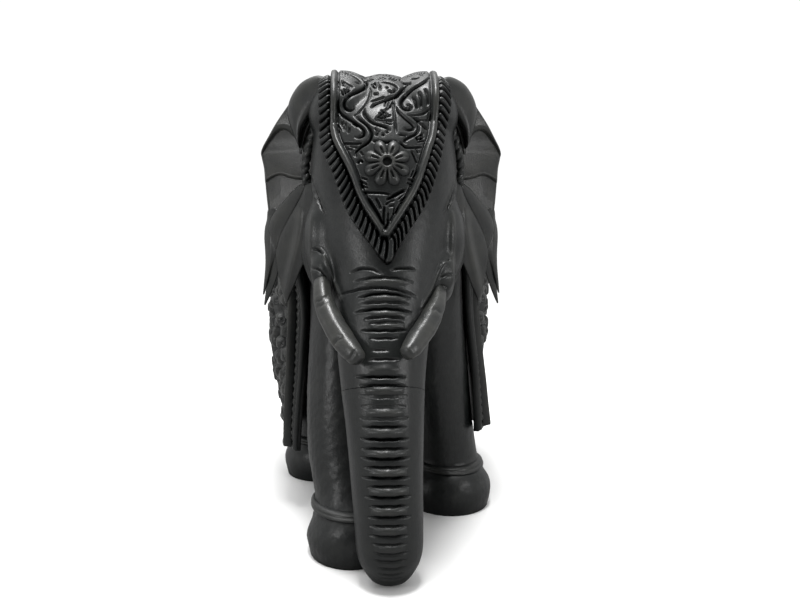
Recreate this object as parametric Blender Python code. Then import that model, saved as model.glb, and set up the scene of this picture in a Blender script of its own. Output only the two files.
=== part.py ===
"""A carved ebony elephant in a caparison, built up from fitted and doweled pieces.

The torso and legs are one block with a notch for the head block; the trunk, ears, tusks and tail
are pegged on, and the headcloth, back cloth, cords and anklets lie on the carving.

Frame: metres, +Z up. The elephant faces -Y and its left side is at +X. The origin is on the
ground, below the middle of the figure. Every station and size below is in carving units, MM.
"""

import math

import bmesh
import bpy
from mathutils import Matrix, Vector
from mathutils.bvhtree import BVHTree

HEIGHT = 0.150  # ground to the top of the headcloth
MM = HEIGHT / 150  # one carving unit
FIT = 0.35  # clearance between fitted pieces
FAR = 120  # well outside the figure

EBONY = ("ebony", (0.020, 0.021, 0.020), 0.42)
BEECH = ("dowel_beech", (0.55, 0.40, 0.24), 0.60)

# Limbs: stations of (x, y, z, half width across, half width fore and aft).
TORSO = [
    (0, -34, 95, 14, 22),
    (0, -28, 95, 20, 33),
    (0, -17, 94, 26, 43),
    (0, 0, 94, 33, 48.5),
    (0, 22, 94, 37, 49.5),
    (0, 42, 93, 34, 46),
    (0, 56, 91, 26.5, 36),
    (0, 65, 89, 14.5, 20),
]
NECK = [(0, -38, 117, 20, 22), (0, -22, 112, 23, 27), (0, -4, 106, 27, 32)]
LEGS = {
    "front_right": [
        (-15, -19, 82, 9.8, 15),
        (-14.6, -27.5, 70, 9.8, 14),
        (-14.2, -34.5, 50, 11.2, 13),
        (-13.3, -40, 32, 11.9, 12),
        (-11.6, -45, 19, 11.3, 11.3),
        (-11, -47, 13, 12.3, 12.6),
        (-10.5, -48.7, 7, 15.1, 16),
        (-10.4, -48.6, 0, 13.9, 14.9),
        (-10.4, -48.4, -12, 12, 13),
    ],
    "front_left": [
        (16.8, -17, 88, 11, 15),
        (18, -16, 70, 10.6, 14.5),
        (19.8, -13, 50, 11.3, 13),
        (22.2, -10.5, 32, 11, 12),
        (24, -9, 19, 11.2, 11.3),
        (24.5, -9.2, 13, 12.3, 12.6),
        (25, -10.6, 7, 15.3, 15.9),
        (25, -10.6, 0, 14.1, 14.6),
        (25, -10.6, -12, 12, 12.6),
    ],
    "rear_right": [
        (-18, 44, 84, 15, 19),
        (-20, 42, 64, 14.5, 17),
        (-21.5, 36, 46, 13, 14),
        (-22.5, 31, 30, 11.8, 12),
        (-23, 28, 19, 11.2, 11.3),
        (-23.2, 27, 13, 12.3, 12.6),
        (-23.5, 26, 7, 15.1, 15.8),
        (-23.5, 26.2, 0, 13.9, 14.5),
        (-23.5, 26.2, -12, 12, 12.6),
    ],
    "rear_left": [
        (18, 46, 84, 15, 19),
        (20, 49, 64, 14.5, 16.5),
        (21.5, 51, 46, 13, 13.5),
        (22.5, 54, 30, 11.8, 12),
        (23, 56, 19, 11.2, 11.3),
        (23.2, 56.5, 13, 12.3, 12.6),
        (23.5, 56, 7, 15.1, 15.8),
        (23.5, 56, 0, 13.9, 14.5),
        (23.5, 56, -12, 12, 12.6),
    ],
}
FACE = [
    (0, -34, 137, 20, 12),
    (0, -36, 131, 22, 17),
    (0, -38.5, 120, 23, 19.5),
    (0, -42, 107, 22.4, 19),
    (0, -46, 96, 20.2, 18),
    (0, -51, 85, 16.5, 16),
]
TRUNK = [
    (0, -51, 85, 16.5, 16),
    (-1.2, -57, 73, 14.4, 13.8),
    (-1.5, -62.7, 60, 12.75, 12.2),
    (-1.1, -67.6, 46, 11.45, 11),
    (-0.7, -70.3, 32, 10.65, 10.4),
    (-0.2, -71.6, 19, 10.15, 9.8),
    (0, -71.8, 10, 9.8, 9.4),
    (0, -71.8, 5, 8, 7.8),
    (0, -71.8, 1, 5.2, 5.2),
]
TRUNK_TIP = [(0, -71.8, 9.5, 6.8, 7), (-4.6, -72, 9.8, 5.4, 5.6), (-6.5, -72, 10, 3.6, 3.6)]
# Rounded masses of the head and rump: (centre, radii).
MASSES = [
    ((-12.8, -36, 137.4), (10.9, 13.5, 11)),  # the twin domes, and the crown between them
    ((12.8, -36, 137.4), (10.9, 13.5, 11)),
    ((0, -36, 136.5), (12, 13, 11)),
    ((-17, -43, 99), (8.2, 11, 15.5)),  # the cheeks
    ((17, -43, 99), (8.2, 11, 15.5)),
    ((-18.6, -49.5, 89), (4.4, 7.5, 9)),  # the tusk sheaths
    ((16.8, -50, 88), (4.6, 7.5, 9)),
    ((0, -41, 84), (9, 10, 7.5)),  # the jaw
    ((0, 51, 90), (28, 18, 38)),  # the rump
]

# The head block's notch, as a side view outline (y, z): neck face, seat, throat, trunk joint.
HEAD_NOTCH = [(-22, 170), (-22, 94), (-43.5, 72), (-50, 50), (-96, 67.7), (-96, 170)]
TRUNK_JOINT = [(-30, 42.3), (-96, 67.7), (-96, 170), (-30, 170)]

HEAD_CENTRE = (0, -36, 116)
# The headcloth's half width, as (angle above the brow line, half angle to its side), in degrees.
HEADCLOTH_OUTLINE = [
    (-36.5, 1.5),
    (-34, 4.8),
    (-30, 9.6),
    (-25, 16),
    (-20, 22.5),
    (-12, 28.5),
    (-3, 33),
    (8, 37.5),
    (17, 41),
    (31, 45),
    (45, 46),
    (58, 43),
    (64, 38.5),
    (71, 35.5),
    (80, 33.8),
    (97, 33.4),
    (118, 33),
]
HEADCLOTH_THICK = 1.8
HEADCLOTH_GAP = 1.05
ROSETTE_ANGLE = 13  # above the brow line
ROSETTE_RADIUS, ROSETTE_HOLE, ROSETTE_THICK = 6.2, 1.1, 1.0
ROSETTE_PETALS = 8

CLOTH_FRONT, CLOTH_REAR, CLOTH_ROWS = -19, 57, 17
CLOTH_THICK = 2.4
CLOTH_GAP = 0.9  # the cloth follows the barrel loosely
CLOTH_AXIS_Z = 94  # the height that the cloth is draped around
CLOTH_HEM_Z = {-1: 23, 1: 29}  # on the right and on the left
CLOTH_SIDE_ANGLE = 8  # where the cloth leaves the barrel and hangs free, above level
# The fall's half width as a share of the barrel's, at each share of the way down to the hem.
CLOTH_FRONT_FALL = [(0, 1), (0.3, 0.97), (0.65, 1.04), (0.85, 1.1), (1, 1.13)]
CLOTH_SIDE_FALL = [(0, 1), (0.3, 1.03), (0.5, 1.03), (0.7, 0.99), (0.87, 0.93), (1, 0.88)]
CLOTH_SIDE_Y = 3  # from here back the cloth falls as at its side
CLOTH_CLEAR = 2.4  # the cloth also clears what stands this far before and behind
PANEL_THICK = 3.0
PANEL_COLUMNS = 10  # of the cloth's grid, counted from the hem

# An ear: its root's heights on the head, and its margin from the crown down to the tip.
EAR_ROOT_Y = -33
EAR_ROOT_TOP, EAR_ROOT_LOW = 143, 103
EAR_MARGIN = [
    (24.5, -32, 147),
    (29, -29.5, 145.5),
    (33.5, -26.5, 139.5),
    (38, -22.5, 131.5),
    (40.3, -20.5, 124),
    (39.6, -20, 114),
    (39.4, -22, 103),
    (40.2, -24.5, 93),
    (40.6, -26, 85),
    (39.2, -29, 78.5),
]
EAR_THICK_ROOT, EAR_THICK_MARGIN = 5.0, 2.2
# The ear's gap from the head, from the crown down: wide enough above for the headcloth.
EAR_GAP = [(0, 3.6), (0.3, 3.6), (0.5, 1.3), (1, 1.3)]
EAR_ROLL = 6.0  # how far the rolled top edge stands forward
EAR_ROLL_ROW, EAR_ROLL_SHARE = 1.6, 0.72  # its margin station, and its share of the way out

# The tusks: (x, y, z, radius), from the peg in its socket to the blunt tip. The left one curls in
# further, across the front of the trunk.
TUSKS = {
    "right": [
        (-17.6, -44, 91.5, 2.0),
        (-18.6, -50, 89, 2.1),
        (-19.2, -56, 85.9, 2.2),
        (-18.6, -60, 81.8, 2.4),
        (-16.4, -64.6, 77, 2.75),
        (-13.6, -69, 72.8, 2.8),
        (-11, -73, 69.8, 2.5),
        (-9.4, -75, 68.3, 2.1),
    ],
    "left": [
        (14.6, -44, 89.5, 1.9),
        (15.3, -50, 87, 2.0),
        (15.3, -57, 83.4, 2.1),
        (13.9, -62, 80, 2.3),
        (11.2, -67.4, 75.8, 2.6),
        (8.4, -71.3, 72.8, 2.6),
        (6.4, -74.4, 70.6, 2.35),
        (5.2, -76, 69.6, 1.9),
    ],
}
TAIL = [
    (0, 58, 117, 2.4),
    (0, 65.5, 116.5, 2.4),
    (0.2, 72.5, 112, 2.4),
    (0.8, 77, 101, 2.1),
    (1.5, 78.9, 84, 1.9),
    (1.9, 79, 70, 2.4),
    (2.0, 78.6, 62, 3.0),
    (2.0, 78, 54, 1.8),
]
CORD_RADIUS = 1.3
CORD_HEIGHTS = (138, 134, 130, 126, 122, 118)
CORD_Y = -36.2
ANKLET_HEIGHT = 15.5
ANKLET_THICK, ANKLET_TALL = 1.3, 2.4
ANKLET_GAP = 0.5
ANKLE_REACH = 19  # from an ankle's middle to clear of its leg, but short of the next leg
DOWELS = {  # centre, direction, radius, length
    "neck_dowel_upper": ((0, -22, 125), (0, 1, 0), 3.5, 26),
    "neck_dowel_lower": ((0, -22, 105), (0, 1, 0), 3.5, 26),
    "trunk_dowel": ((-1.1, -62.2, 55.4), (0, -0.36, -0.933), 3.0, 22),
}
EAR_DOWEL_RADIUS, EAR_DOWEL_LENGTH = 1.1, 9.0
EAR_DOWEL_Z = 118


def turns(count):
    """Evenly spaced angles round a full turn."""
    return [2 * math.pi * i / count for i in range(count)]


def place(x, y, z):
    return Vector((x, y, z)) * MM


def catmull_rom(stations, steps):
    """The stations, with steps - 1 smooth ones between each two."""
    padded = [stations[0], *stations, stations[-1]]
    smooth = []
    for before, start, end, after in zip(padded, padded[1:], padded[2:], padded[3:]):
        for step in range(steps):
            t = step / steps
            smooth.append(
                tuple(
                    0.5 * (2 * b + (c - a) * t + (2 * a - 5 * b + 4 * c - d) * t**2)
                    + 0.5 * (3 * b - a - 3 * c + d) * t**3
                    for a, b, c, d in zip(before, start, end, after)
                )
            )
    smooth.append(tuple(stations[-1]))
    return smooth


def look_up(table, key):
    """The table's second value at key, straight between its rows."""
    for (a, low), (b, high) in zip(table, table[1:]):
        if key <= b:
            return low + (high - low) * (key - a) / (b - a)
    return table[-1][1]


def clear_scene():
    for obj in list(bpy.data.objects):
        bpy.data.objects.remove(obj)


def material(name, colour, roughness):
    made = bpy.data.materials.get(name)
    if made is None:
        made = bpy.data.materials.new(name)
        made.use_nodes = True
        shader = made.node_tree.nodes["Principled BSDF"]
        shader.inputs["Base Color"].default_value = (*colour, 1)
        shader.inputs["Roughness"].default_value = roughness
    return made


def new_object(name, mesh, wood=EBONY):
    obj = bpy.data.objects.new(name, mesh)
    bpy.context.scene.collection.objects.link(obj)
    if not mesh.materials:
        mesh.materials.append(material(*wood))
    return obj


def object_from(name, bm, wood=EBONY):
    bmesh.ops.recalc_face_normals(bm, faces=bm.faces)
    mesh = bpy.data.meshes.new(name)
    bm.to_mesh(mesh)
    bm.free()
    mesh.shade_smooth()
    return new_object(name, mesh, wood)


def hide(helper):
    helper.hide_render = True
    helper.display_type = "WIRE"
    return helper


def bake(obj):
    """Replaces the object's mesh by what its modifiers make of it."""
    bpy.context.view_layer.update()
    graph = bpy.context.evaluated_depsgraph_get()
    mesh = bpy.data.meshes.new_from_object(obj.evaluated_get(graph))
    obj.modifiers.clear()
    obj.data = mesh
    return obj


def tree_of(obj):
    bm = bmesh.new()
    bm.from_mesh(obj.data)
    tree = BVHTree.FromBMesh(bm)
    bm.free()
    return tree


def add_tube(bm, centres, sections):
    """A closed tube through the centres; each section is its (across, fore and aft) half widths."""
    rings = []
    for i, (centre, (across, fore)) in enumerate(zip(centres, sections)):
        along = centres[min(i + 1, len(centres) - 1)] - centres[max(i - 1, 0)]
        along.normalize()
        side = (Vector((1, 0, 0)) - along * along.x).normalized()
        front = along.cross(side)
        rings.append(
            [
                bm.verts.new(centre + side * across * math.cos(a) + front * fore * math.sin(a))
                for a in turns(20)
            ]
        )
    for ring, following in zip(rings, rings[1:]):
        for i in range(20):
            j = (i + 1) % 20
            bm.faces.new((ring[i], ring[j], following[j], following[i]))
    bm.faces.new(rings[0][::-1])
    bm.faces.new(rings[-1])


def add_limb(bm, stations):
    path = catmull_rom(stations, 3)
    add_tube(bm, [place(*s[:3]) for s in path], [(s[3] * MM, s[4] * MM) for s in path])


def add_mass(bm, centre, radii):
    matrix = Matrix.Translation(place(*centre)) @ Matrix.Diagonal((*place(*radii), 1))
    bmesh.ops.create_uvsphere(bm, u_segments=24, v_segments=14, radius=1, matrix=matrix)


def carve(name, bm, faces, voxel=1.1, smoothing=14):
    """One smooth closed carving from the overlapping shapes in bm, with about that many faces."""
    form = object_from(name, bm)
    remesh = form.modifiers.new("Remesh", "REMESH")
    remesh.mode = "VOXEL"
    remesh.voxel_size = voxel * MM
    smooth = form.modifiers.new("Smooth", "SMOOTH")
    smooth.factor = 0.5
    smooth.iterations = smoothing
    bake(form)
    thin = form.modifiers.new("Decimate", "DECIMATE")
    thin.ratio = faces / (2 * len(form.data.polygons))
    thin.use_collapse_triangulate = True
    return bake(form)


def carve_figure():
    """The whole animal down to the upper trunk, before it is cut into blocks."""
    bm = bmesh.new()
    for stations in (TORSO, NECK, *LEGS.values(), FACE, TRUNK[:4]):
        add_limb(bm, stations)
    for centre, radii in MASSES:
        add_mass(bm, centre, radii)
    return carve("figure", bm, 4600)


def carve_trunk():
    bm = bmesh.new()
    add_limb(bm, TRUNK)
    add_limb(bm, TRUNK_TIP)
    return carve("trunk", bm, 1000, voxel=0.9, smoothing=10)


def prism(name, outline, shift=(0, 0)):
    """A hidden cutter: a side view outline, drawn through the full width of the figure."""
    bm = bmesh.new()
    near = [bm.verts.new(place(-FAR, y + shift[0], z + shift[1])) for y, z in outline]
    face = bm.faces.new(near)
    moved = bmesh.ops.extrude_face_region(bm, geom=[face])["geom"]
    far_side = [v for v in moved if isinstance(v, bmesh.types.BMVert)]
    bmesh.ops.translate(bm, verts=far_side, vec=place(2 * FAR, 0, 0))
    return hide(object_from(name, bm))


def ground_box():
    bm = bmesh.new()
    matrix = Matrix.Translation(place(0, 0, -FAR)) @ Matrix.Diagonal((*place(2 * FAR, 2 * FAR, 2 * FAR), 1))
    bmesh.ops.create_cube(bm, size=1, matrix=matrix)
    return hide(object_from("ground_cutter", bm))


def cut(obj, cutter, operation="DIFFERENCE"):
    boolean = obj.modifiers.new(cutter.name, "BOOLEAN")
    boolean.operation = operation
    boolean.object = cutter
    boolean.solver = "EXACT"


def keep_largest(obj):
    """Drops every loose piece but the one with the most points."""
    bm = bmesh.new()
    bm.from_mesh(obj.data)
    left = set(bm.verts)
    islands = []
    while left:
        island, edge = set(), [left.pop()]
        while edge:
            vert = edge.pop()
            island.add(vert)
            near = {e.other_vert(vert) for e in vert.link_edges} & left
            left -= near
            edge += near
        islands.append(island)
    islands.sort(key=len)
    bmesh.ops.delete(bm, geom=[v for island in islands[:-1] for v in island], context="VERTS")
    bm.to_mesh(obj.data)
    bm.free()
    return obj


def cylinder(name, centre, along, radius, length, wood=EBONY):
    bm = bmesh.new()
    turn = Vector(along).to_track_quat("Z", "Y").to_matrix().to_4x4()
    matrix = Matrix.Translation(place(*centre)) @ turn
    bmesh.ops.create_cone(
        bm,
        cap_ends=True,
        segments=20,
        radius1=radius * MM,
        radius2=radius * MM,
        depth=length * MM,
        matrix=matrix,
    )
    return object_from(name, bm, wood)


def round_tube(name, stations, grow=0.0, wood=EBONY):
    """A tapering round piece with domed ends, along stations of (x, y, z, radius)."""
    path = catmull_rom(stations, 2)
    centres = [place(*s[:3]) for s in path]
    radii = [(s[3] + grow) * MM for s in path]
    first, last = (centres[0] - centres[1]).normalized(), (centres[-1] - centres[-2]).normalized()
    dome = ((0.45, 0.86), (0.85, 0.5))  # how far out, and how wide, in radii
    centres = (
        [centres[0] + first * radii[0] * out for out, _ in dome[::-1]]
        + centres
        + [centres[-1] + last * radii[-1] * out for out, _ in dome]
    )
    radii = [radii[0] * wide for _, wide in dome[::-1]] + radii + [radii[-1] * wide for _, wide in dome]
    bm = bmesh.new()
    side = Vector((1, 0, 0))
    rings = []
    for i, (centre, radius) in enumerate(zip(centres, radii)):
        along = (centres[min(i + 1, len(centres) - 1)] - centres[max(i - 1, 0)]).normalized()
        side = (side - along * along.dot(side)).normalized()
        front = along.cross(side)
        rings.append(
            [bm.verts.new(centre + (side * math.cos(a) + front * math.sin(a)) * radius) for a in turns(12)]
        )
    for ring, following in zip(rings, rings[1:]):
        for i in range(12):
            j = (i + 1) % 12
            bm.faces.new((ring[i], ring[j], following[j], following[i]))
    bm.faces.new(rings[0][::-1])
    bm.faces.new(rings[-1])
    return object_from(name, bm, wood)


def solid_between(name, inner, outer, cyclic=False):
    """A closed shell between two grids of points with the same rows. A cyclic grid's rows are rings."""
    bm = bmesh.new()
    grids = [[[bm.verts.new(p) for p in row] for row in grid] for grid in (inner, outer)]
    rows, columns = len(inner), len(inner[0])
    steps = columns if cyclic else columns - 1
    for grid in grids:
        for i in range(rows - 1):
            for j in range(steps):
                k = (j + 1) % columns
                bm.faces.new((grid[i][j], grid[i][k], grid[i + 1][k], grid[i + 1][j]))
    low, high = grids
    for i in (0, rows - 1):
        for j in range(steps):
            k = (j + 1) % columns
            bm.faces.new((low[i][j], low[i][k], high[i][k], high[i][j]))
    if not cyclic:
        for j in (0, columns - 1):
            for i in range(rows - 1):
                bm.faces.new((low[i][j], low[i + 1][j], high[i + 1][j], high[i][j]))
    return object_from(name, bm)


def head_ray(up, side):
    """The direction from the head's centre at an angle above the brow line and to the side."""
    up, side = math.radians(up), math.radians(side)
    return Vector((math.sin(side), -math.cos(side) * math.cos(up), math.cos(side) * math.sin(up)))


def outside_hit(tree, centre, direction, reach=FAR):
    """Where a line that starts that far out, towards centre, first meets the carving."""
    hit = tree.ray_cast(centre + direction * reach * MM, -direction)[0]
    if hit is None:
        raise ValueError(f"nothing lies towards {direction} from {centre}")
    return hit


def headcloth(tree):
    centre = place(*HEAD_CENTRE)
    inner, outer = [], []
    up_first, up_last = HEADCLOTH_OUTLINE[0][0], HEADCLOTH_OUTLINE[-1][0]
    rows, columns = 28, 18
    for i in range(rows):
        up = up_first + (up_last - up_first) * i / (rows - 1)
        half = look_up(HEADCLOTH_OUTLINE, up)
        directions = [head_ray(up, half * (2 * j / (columns - 1) - 1)) for j in range(columns)]
        hits = [outside_hit(tree, centre, d) for d in directions]
        inner.append([hit + d * HEADCLOTH_GAP * MM for hit, d in zip(hits, directions)])
        outer.append([p + d * HEADCLOTH_THICK * MM for p, d in zip(inner[-1], directions)])
    return solid_between("headcloth", inner, outer)


def rosette(cloth_tree):
    """The flower boss on the brow: a ring of petals round a drilled eye."""
    centre = place(*HEAD_CENTRE)
    reach = (outside_hit(cloth_tree, centre, head_ray(ROSETTE_ANGLE, 0)) - centre).length / MM
    inner, outer = [], []
    for share in (0, 0.5, 1):
        directions = []
        for angle in turns(ROSETTE_PETALS * 4):
            petal = 1 + 0.10 * math.cos(ROSETTE_PETALS * angle) * share
            radius = (ROSETTE_HOLE + (ROSETTE_RADIUS - ROSETTE_HOLE) * share) * petal
            turn = math.degrees(radius / reach)
            directions.append(head_ray(ROSETTE_ANGLE + turn * math.sin(angle), turn * math.cos(angle)))
        hits = [outside_hit(cloth_tree, centre, d) for d in directions]
        inner.append([hit + d * FIT * MM for hit, d in zip(hits, directions)])
        outer.append([p + d * ROSETTE_THICK * MM for p, d in zip(inner[-1], directions)])
    return solid_between("rosette", inner, outer, cyclic=True)


def cloth_section(tree, y):
    """The back cloth's inner points at y, from the right hem over the back to the left hem."""
    right, left = (half_section(tree, y, side) for side in (-1, 1))
    return right + left[-2::-1]


def half_section(tree, y, side):
    """One side of the cloth's inner line at y, from its hem up to the spine."""
    axis = place(0, y, CLOTH_AXIS_Z)
    gap = CLOTH_GAP * MM
    over = []
    for step in range(11):
        angle = math.radians(CLOTH_SIDE_ANGLE + (90 - CLOTH_SIDE_ANGLE) * step / 10)
        direction = Vector((side * math.cos(angle), 0, math.sin(angle)))
        over.append(outside_hit(tree, axis, direction) + direction * gap)
    edge = over[0]
    back = min(1, (y - CLOTH_FRONT) / (CLOTH_SIDE_Y - CLOTH_FRONT))
    fall = []
    for step in range(8, 0, -1):
        share = step / 8
        z = edge.z + (CLOTH_HEM_Z[side] * MM - edge.z) * share
        wide = look_up(CLOTH_FRONT_FALL, share) * (1 - back) + look_up(CLOTH_SIDE_FALL, share) * back
        hanging = side * edge.x * wide
        fall.append(Vector((side * max(hanging, widest_at(tree, y, z, side) + gap), y * MM, z)))
    return fall + over


def widest_at(tree, y, z, side):
    """How far out the carving reaches at that height on that side, near that section."""
    widest = 0
    for near in (-CLOTH_CLEAR, -CLOTH_CLEAR / 2, 0, CLOTH_CLEAR / 2, CLOTH_CLEAR):
        start = Vector((side * FAR * MM, (y + near) * MM, z))
        hit = tree.ray_cast(start, Vector((-side, 0, 0)))[0]
        if hit is not None:
            widest = max(widest, side * hit.x)
    return widest


def back_cloth_grids(tree):
    """The cloth's inner and outer points, in rows from the front to the rear."""
    spacing = (CLOTH_REAR - CLOTH_FRONT) / (CLOTH_ROWS - 1)
    inner = [cloth_section(tree, CLOTH_FRONT + spacing * i) for i in range(CLOTH_ROWS)]
    return inner, swelled(inner, CLOTH_THICK)


def swelled(inner, thick):
    """The grid moved outwards across its rows, in planes of constant y."""
    outer = []
    for row in inner:
        moved = []
        for j, point in enumerate(row):
            along = row[min(j + 1, len(row) - 1)] - row[max(j - 1, 0)]
            moved.append(point + Vector((-along.z, 0, along.x)).normalized() * thick * MM)
        outer.append(moved)
    return outer


def side_panel(name, cloth, side):
    """The carved panel that stands proud of the cloth's fall, over a part of the cloth's own grid."""
    columns = slice(PANEL_COLUMNS) if side < 0 else slice(-PANEL_COLUMNS, None)
    inner = swelled([row[columns] for row in cloth[1:-1]], FIT)
    return solid_between(name, inner, swelled(inner, PANEL_THICK))


def cleared(point, tree, gap):
    """The point, moved out of the carving until it stands clear of it."""
    surface, normal = tree.find_nearest(point)[:2]
    if (point - surface).dot(normal) < gap * MM:
        return surface + normal * gap * MM
    return point


def ear(name, head_tree, side):
    """A fanned plate from the head's side to the margin, with a roll at its top."""
    front, back = [], []
    margin = catmull_rom(EAR_MARGIN, 3)
    columns = 7
    for i, (mx, my, mz) in enumerate(margin):
        share = i / (len(margin) - 1)
        z = EAR_ROOT_TOP + (EAR_ROOT_LOW - EAR_ROOT_TOP) * share
        edge = place(side * mx, my, mz)
        aim = place(side * 12, EAR_ROOT_Y, z)
        root = head_tree.ray_cast(edge, (aim - edge).normalized())[0]
        reach = edge - root
        gap = look_up(EAR_GAP, share)
        root = root + reach.normalized() * gap * MM
        flat = Vector((reach.y, -reach.x, 0)).normalized() * side  # faces forwards
        if flat.y > 0:
            flat = -flat
        near, far = [], []
        for j in range(columns):
            out = j / (columns - 1)
            along, across = (i / 3 - EAR_ROLL_ROW) / 1.3, (out - EAR_ROLL_SHARE) / 0.3
            bump = math.exp(-(along**2) - across**2)
            middle = root.lerp(edge, out) + flat * EAR_ROLL * bump * MM
            thick = EAR_THICK_ROOT + (EAR_THICK_MARGIN - EAR_THICK_ROOT) * out
            near.append(cleared(middle + flat * thick * 0.5 * MM, head_tree, gap))
            far.append(cleared(middle - flat * thick * 0.5 * MM, head_tree, gap))
        front.append(near)
        back.append(far)
    return solid_between(name, back, front)


def ear_dowel(name, head_tree, side, grow=0.0):
    """The peg between an ear's root and the head, along the ear's own slope."""
    along = Vector((side * 0.78, 0.63, 0))
    inside = place(side * 12, EAR_ROOT_Y - 8, EAR_DOWEL_Z)
    surface = outside_hit(head_tree, inside, along)
    centre = surface + along * 0.3 * MM
    radius, length = EAR_DOWEL_RADIUS + grow, EAR_DOWEL_LENGTH + 2 * grow
    return cylinder(name, centre / MM, along, radius, length, EBONY if grow else BEECH)


def side_cord(name, head_tree, side):
    """A length of twisted cord that hangs from the headcloth beside the ear's root."""
    centres = []
    for z in CORD_HEIGHTS:
        direction = Vector((side, 0, 0))
        hit = outside_hit(head_tree, place(0, CORD_Y, z), direction)
        centres.append(hit + direction * (CORD_RADIUS + FIT * 1.5) * MM)
    stations = [(*(c / MM), CORD_RADIUS) for c in centres]
    return round_tube(name, stations)


def anklet(name, tree, stations):
    """A raised band round one ankle, fitted to the leg."""
    ankle = min(catmull_rom(stations, 6), key=lambda station: abs(station[2] - ANKLET_HEIGHT))
    directions = [Vector((math.cos(a), math.sin(a), 0)) for a in turns(24)]
    inner, outer = [], []
    for height, out in ((-0.5, 0.3), (-0.2, 1), (0.2, 1), (0.5, 0.3)):
        middle = place(ankle[0], ankle[1], ANKLET_HEIGHT + height * ANKLET_TALL)
        hits = [outside_hit(tree, middle, d, ANKLE_REACH) for d in directions]
        inner.append([hit + d * ANKLET_GAP * MM for hit, d in zip(hits, directions)])
        outer.append([p + d * out * ANKLET_THICK * MM for p, d in zip(inner[-1], directions)])
    return solid_between(name, inner, outer, cyclic=True)


def main():
    clear_scene()
    figure = carve_figure()
    trunk = carve_trunk()
    ground = ground_box()
    tree = tree_of(figure)

    cloth = headcloth(tree)
    rosette(tree_of(cloth))
    draped = back_cloth_grids(tree)
    solid_between("back_cloth", *draped)
    for side, word in ((-1, "right"), (1, "left")):
        side_panel(f"{word}_panel", draped[1], side)
        ear(f"{word}_ear", tree, side)
        side_cord(f"{word}_halter_cord", tree, side)
    for leg, stations in LEGS.items():
        anklet(f"{leg}_anklet", tree, stations)

    body = figure
    body.name = "body_block"
    head = new_object("head_block", body.data.copy())
    cut(body, ground)
    cut(body, prism("notch_cutter", HEAD_NOTCH, shift=(FIT, -FIT)))
    cut(head, prism("head_keeper", HEAD_NOTCH), "INTERSECT")
    cut(trunk, prism("trunk_cutter", TRUNK_JOINT, shift=(0, -FIT)))
    for piece in (body, head, trunk):
        keep_largest(bake(piece))

    for name, (centre, along, radius, length) in DOWELS.items():
        cylinder(name, centre, along, radius, length, BEECH)
        hole = hide(cylinder(f"{name}_hole", centre, along, radius + FIT, length + 2 * FIT))
        cut(head, hole)
        cut(trunk if name == "trunk_dowel" else body, hole)
    for side, word in ((-1, "right"), (1, "left")):
        round_tube(f"{word}_tusk", TUSKS[word])
        cut(head, hide(round_tube(f"{word}_tusk_socket", TUSKS[word], grow=FIT)))
        ear_dowel(f"{word}_ear_dowel", tree, side)
        hole = hide(ear_dowel(f"{word}_ear_dowel_hole", tree, side, grow=FIT))
        cut(head, hole)
        cut(bpy.data.objects[f"{word}_ear"], hole)
    round_tube("tail", TAIL)
    cut(body, hide(round_tube("tail_socket", TAIL[:2] + [TAIL[2]], grow=FIT)))


main()
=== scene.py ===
"""The looks of the carved elephant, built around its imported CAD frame.

Every form is in carving units, MM, which come from the frame's own height. The elephant faces -Y
and its left side is at +X. Reliefs are height fields: grooves along lines and pads inside outlines,
drawn in the flat coordinates of the surface that they lie on.
"""

import math

import bmesh
import bpy
import numpy as np
from mathutils import Matrix, Vector
from mathutils.bvhtree import BVHTree


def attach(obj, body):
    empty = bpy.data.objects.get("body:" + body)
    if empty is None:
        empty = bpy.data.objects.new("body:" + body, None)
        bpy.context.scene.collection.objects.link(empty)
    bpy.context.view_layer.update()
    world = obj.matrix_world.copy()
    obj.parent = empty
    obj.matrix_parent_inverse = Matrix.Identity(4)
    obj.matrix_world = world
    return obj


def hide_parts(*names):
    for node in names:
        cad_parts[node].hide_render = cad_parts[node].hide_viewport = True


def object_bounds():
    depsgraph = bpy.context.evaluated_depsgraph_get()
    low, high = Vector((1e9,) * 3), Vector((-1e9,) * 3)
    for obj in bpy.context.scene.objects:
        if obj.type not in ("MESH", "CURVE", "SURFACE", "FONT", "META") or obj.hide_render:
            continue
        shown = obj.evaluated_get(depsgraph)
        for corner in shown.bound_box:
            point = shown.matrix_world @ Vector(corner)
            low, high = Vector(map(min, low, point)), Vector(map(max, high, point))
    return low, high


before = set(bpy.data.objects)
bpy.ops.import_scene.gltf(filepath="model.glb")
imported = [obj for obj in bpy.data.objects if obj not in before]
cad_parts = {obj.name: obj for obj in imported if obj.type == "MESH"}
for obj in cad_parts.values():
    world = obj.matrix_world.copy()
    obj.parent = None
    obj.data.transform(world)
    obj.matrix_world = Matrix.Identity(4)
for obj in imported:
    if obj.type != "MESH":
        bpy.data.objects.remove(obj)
cad_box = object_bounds()

CARVED_HEIGHT = 150.75  # the whole figure's height, in carving units
MM = (cad_box[1][2] - cad_box[0][2]) / CARVED_HEIGHT
SIDES = ((-1, "right"), (1, "left"))

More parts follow.
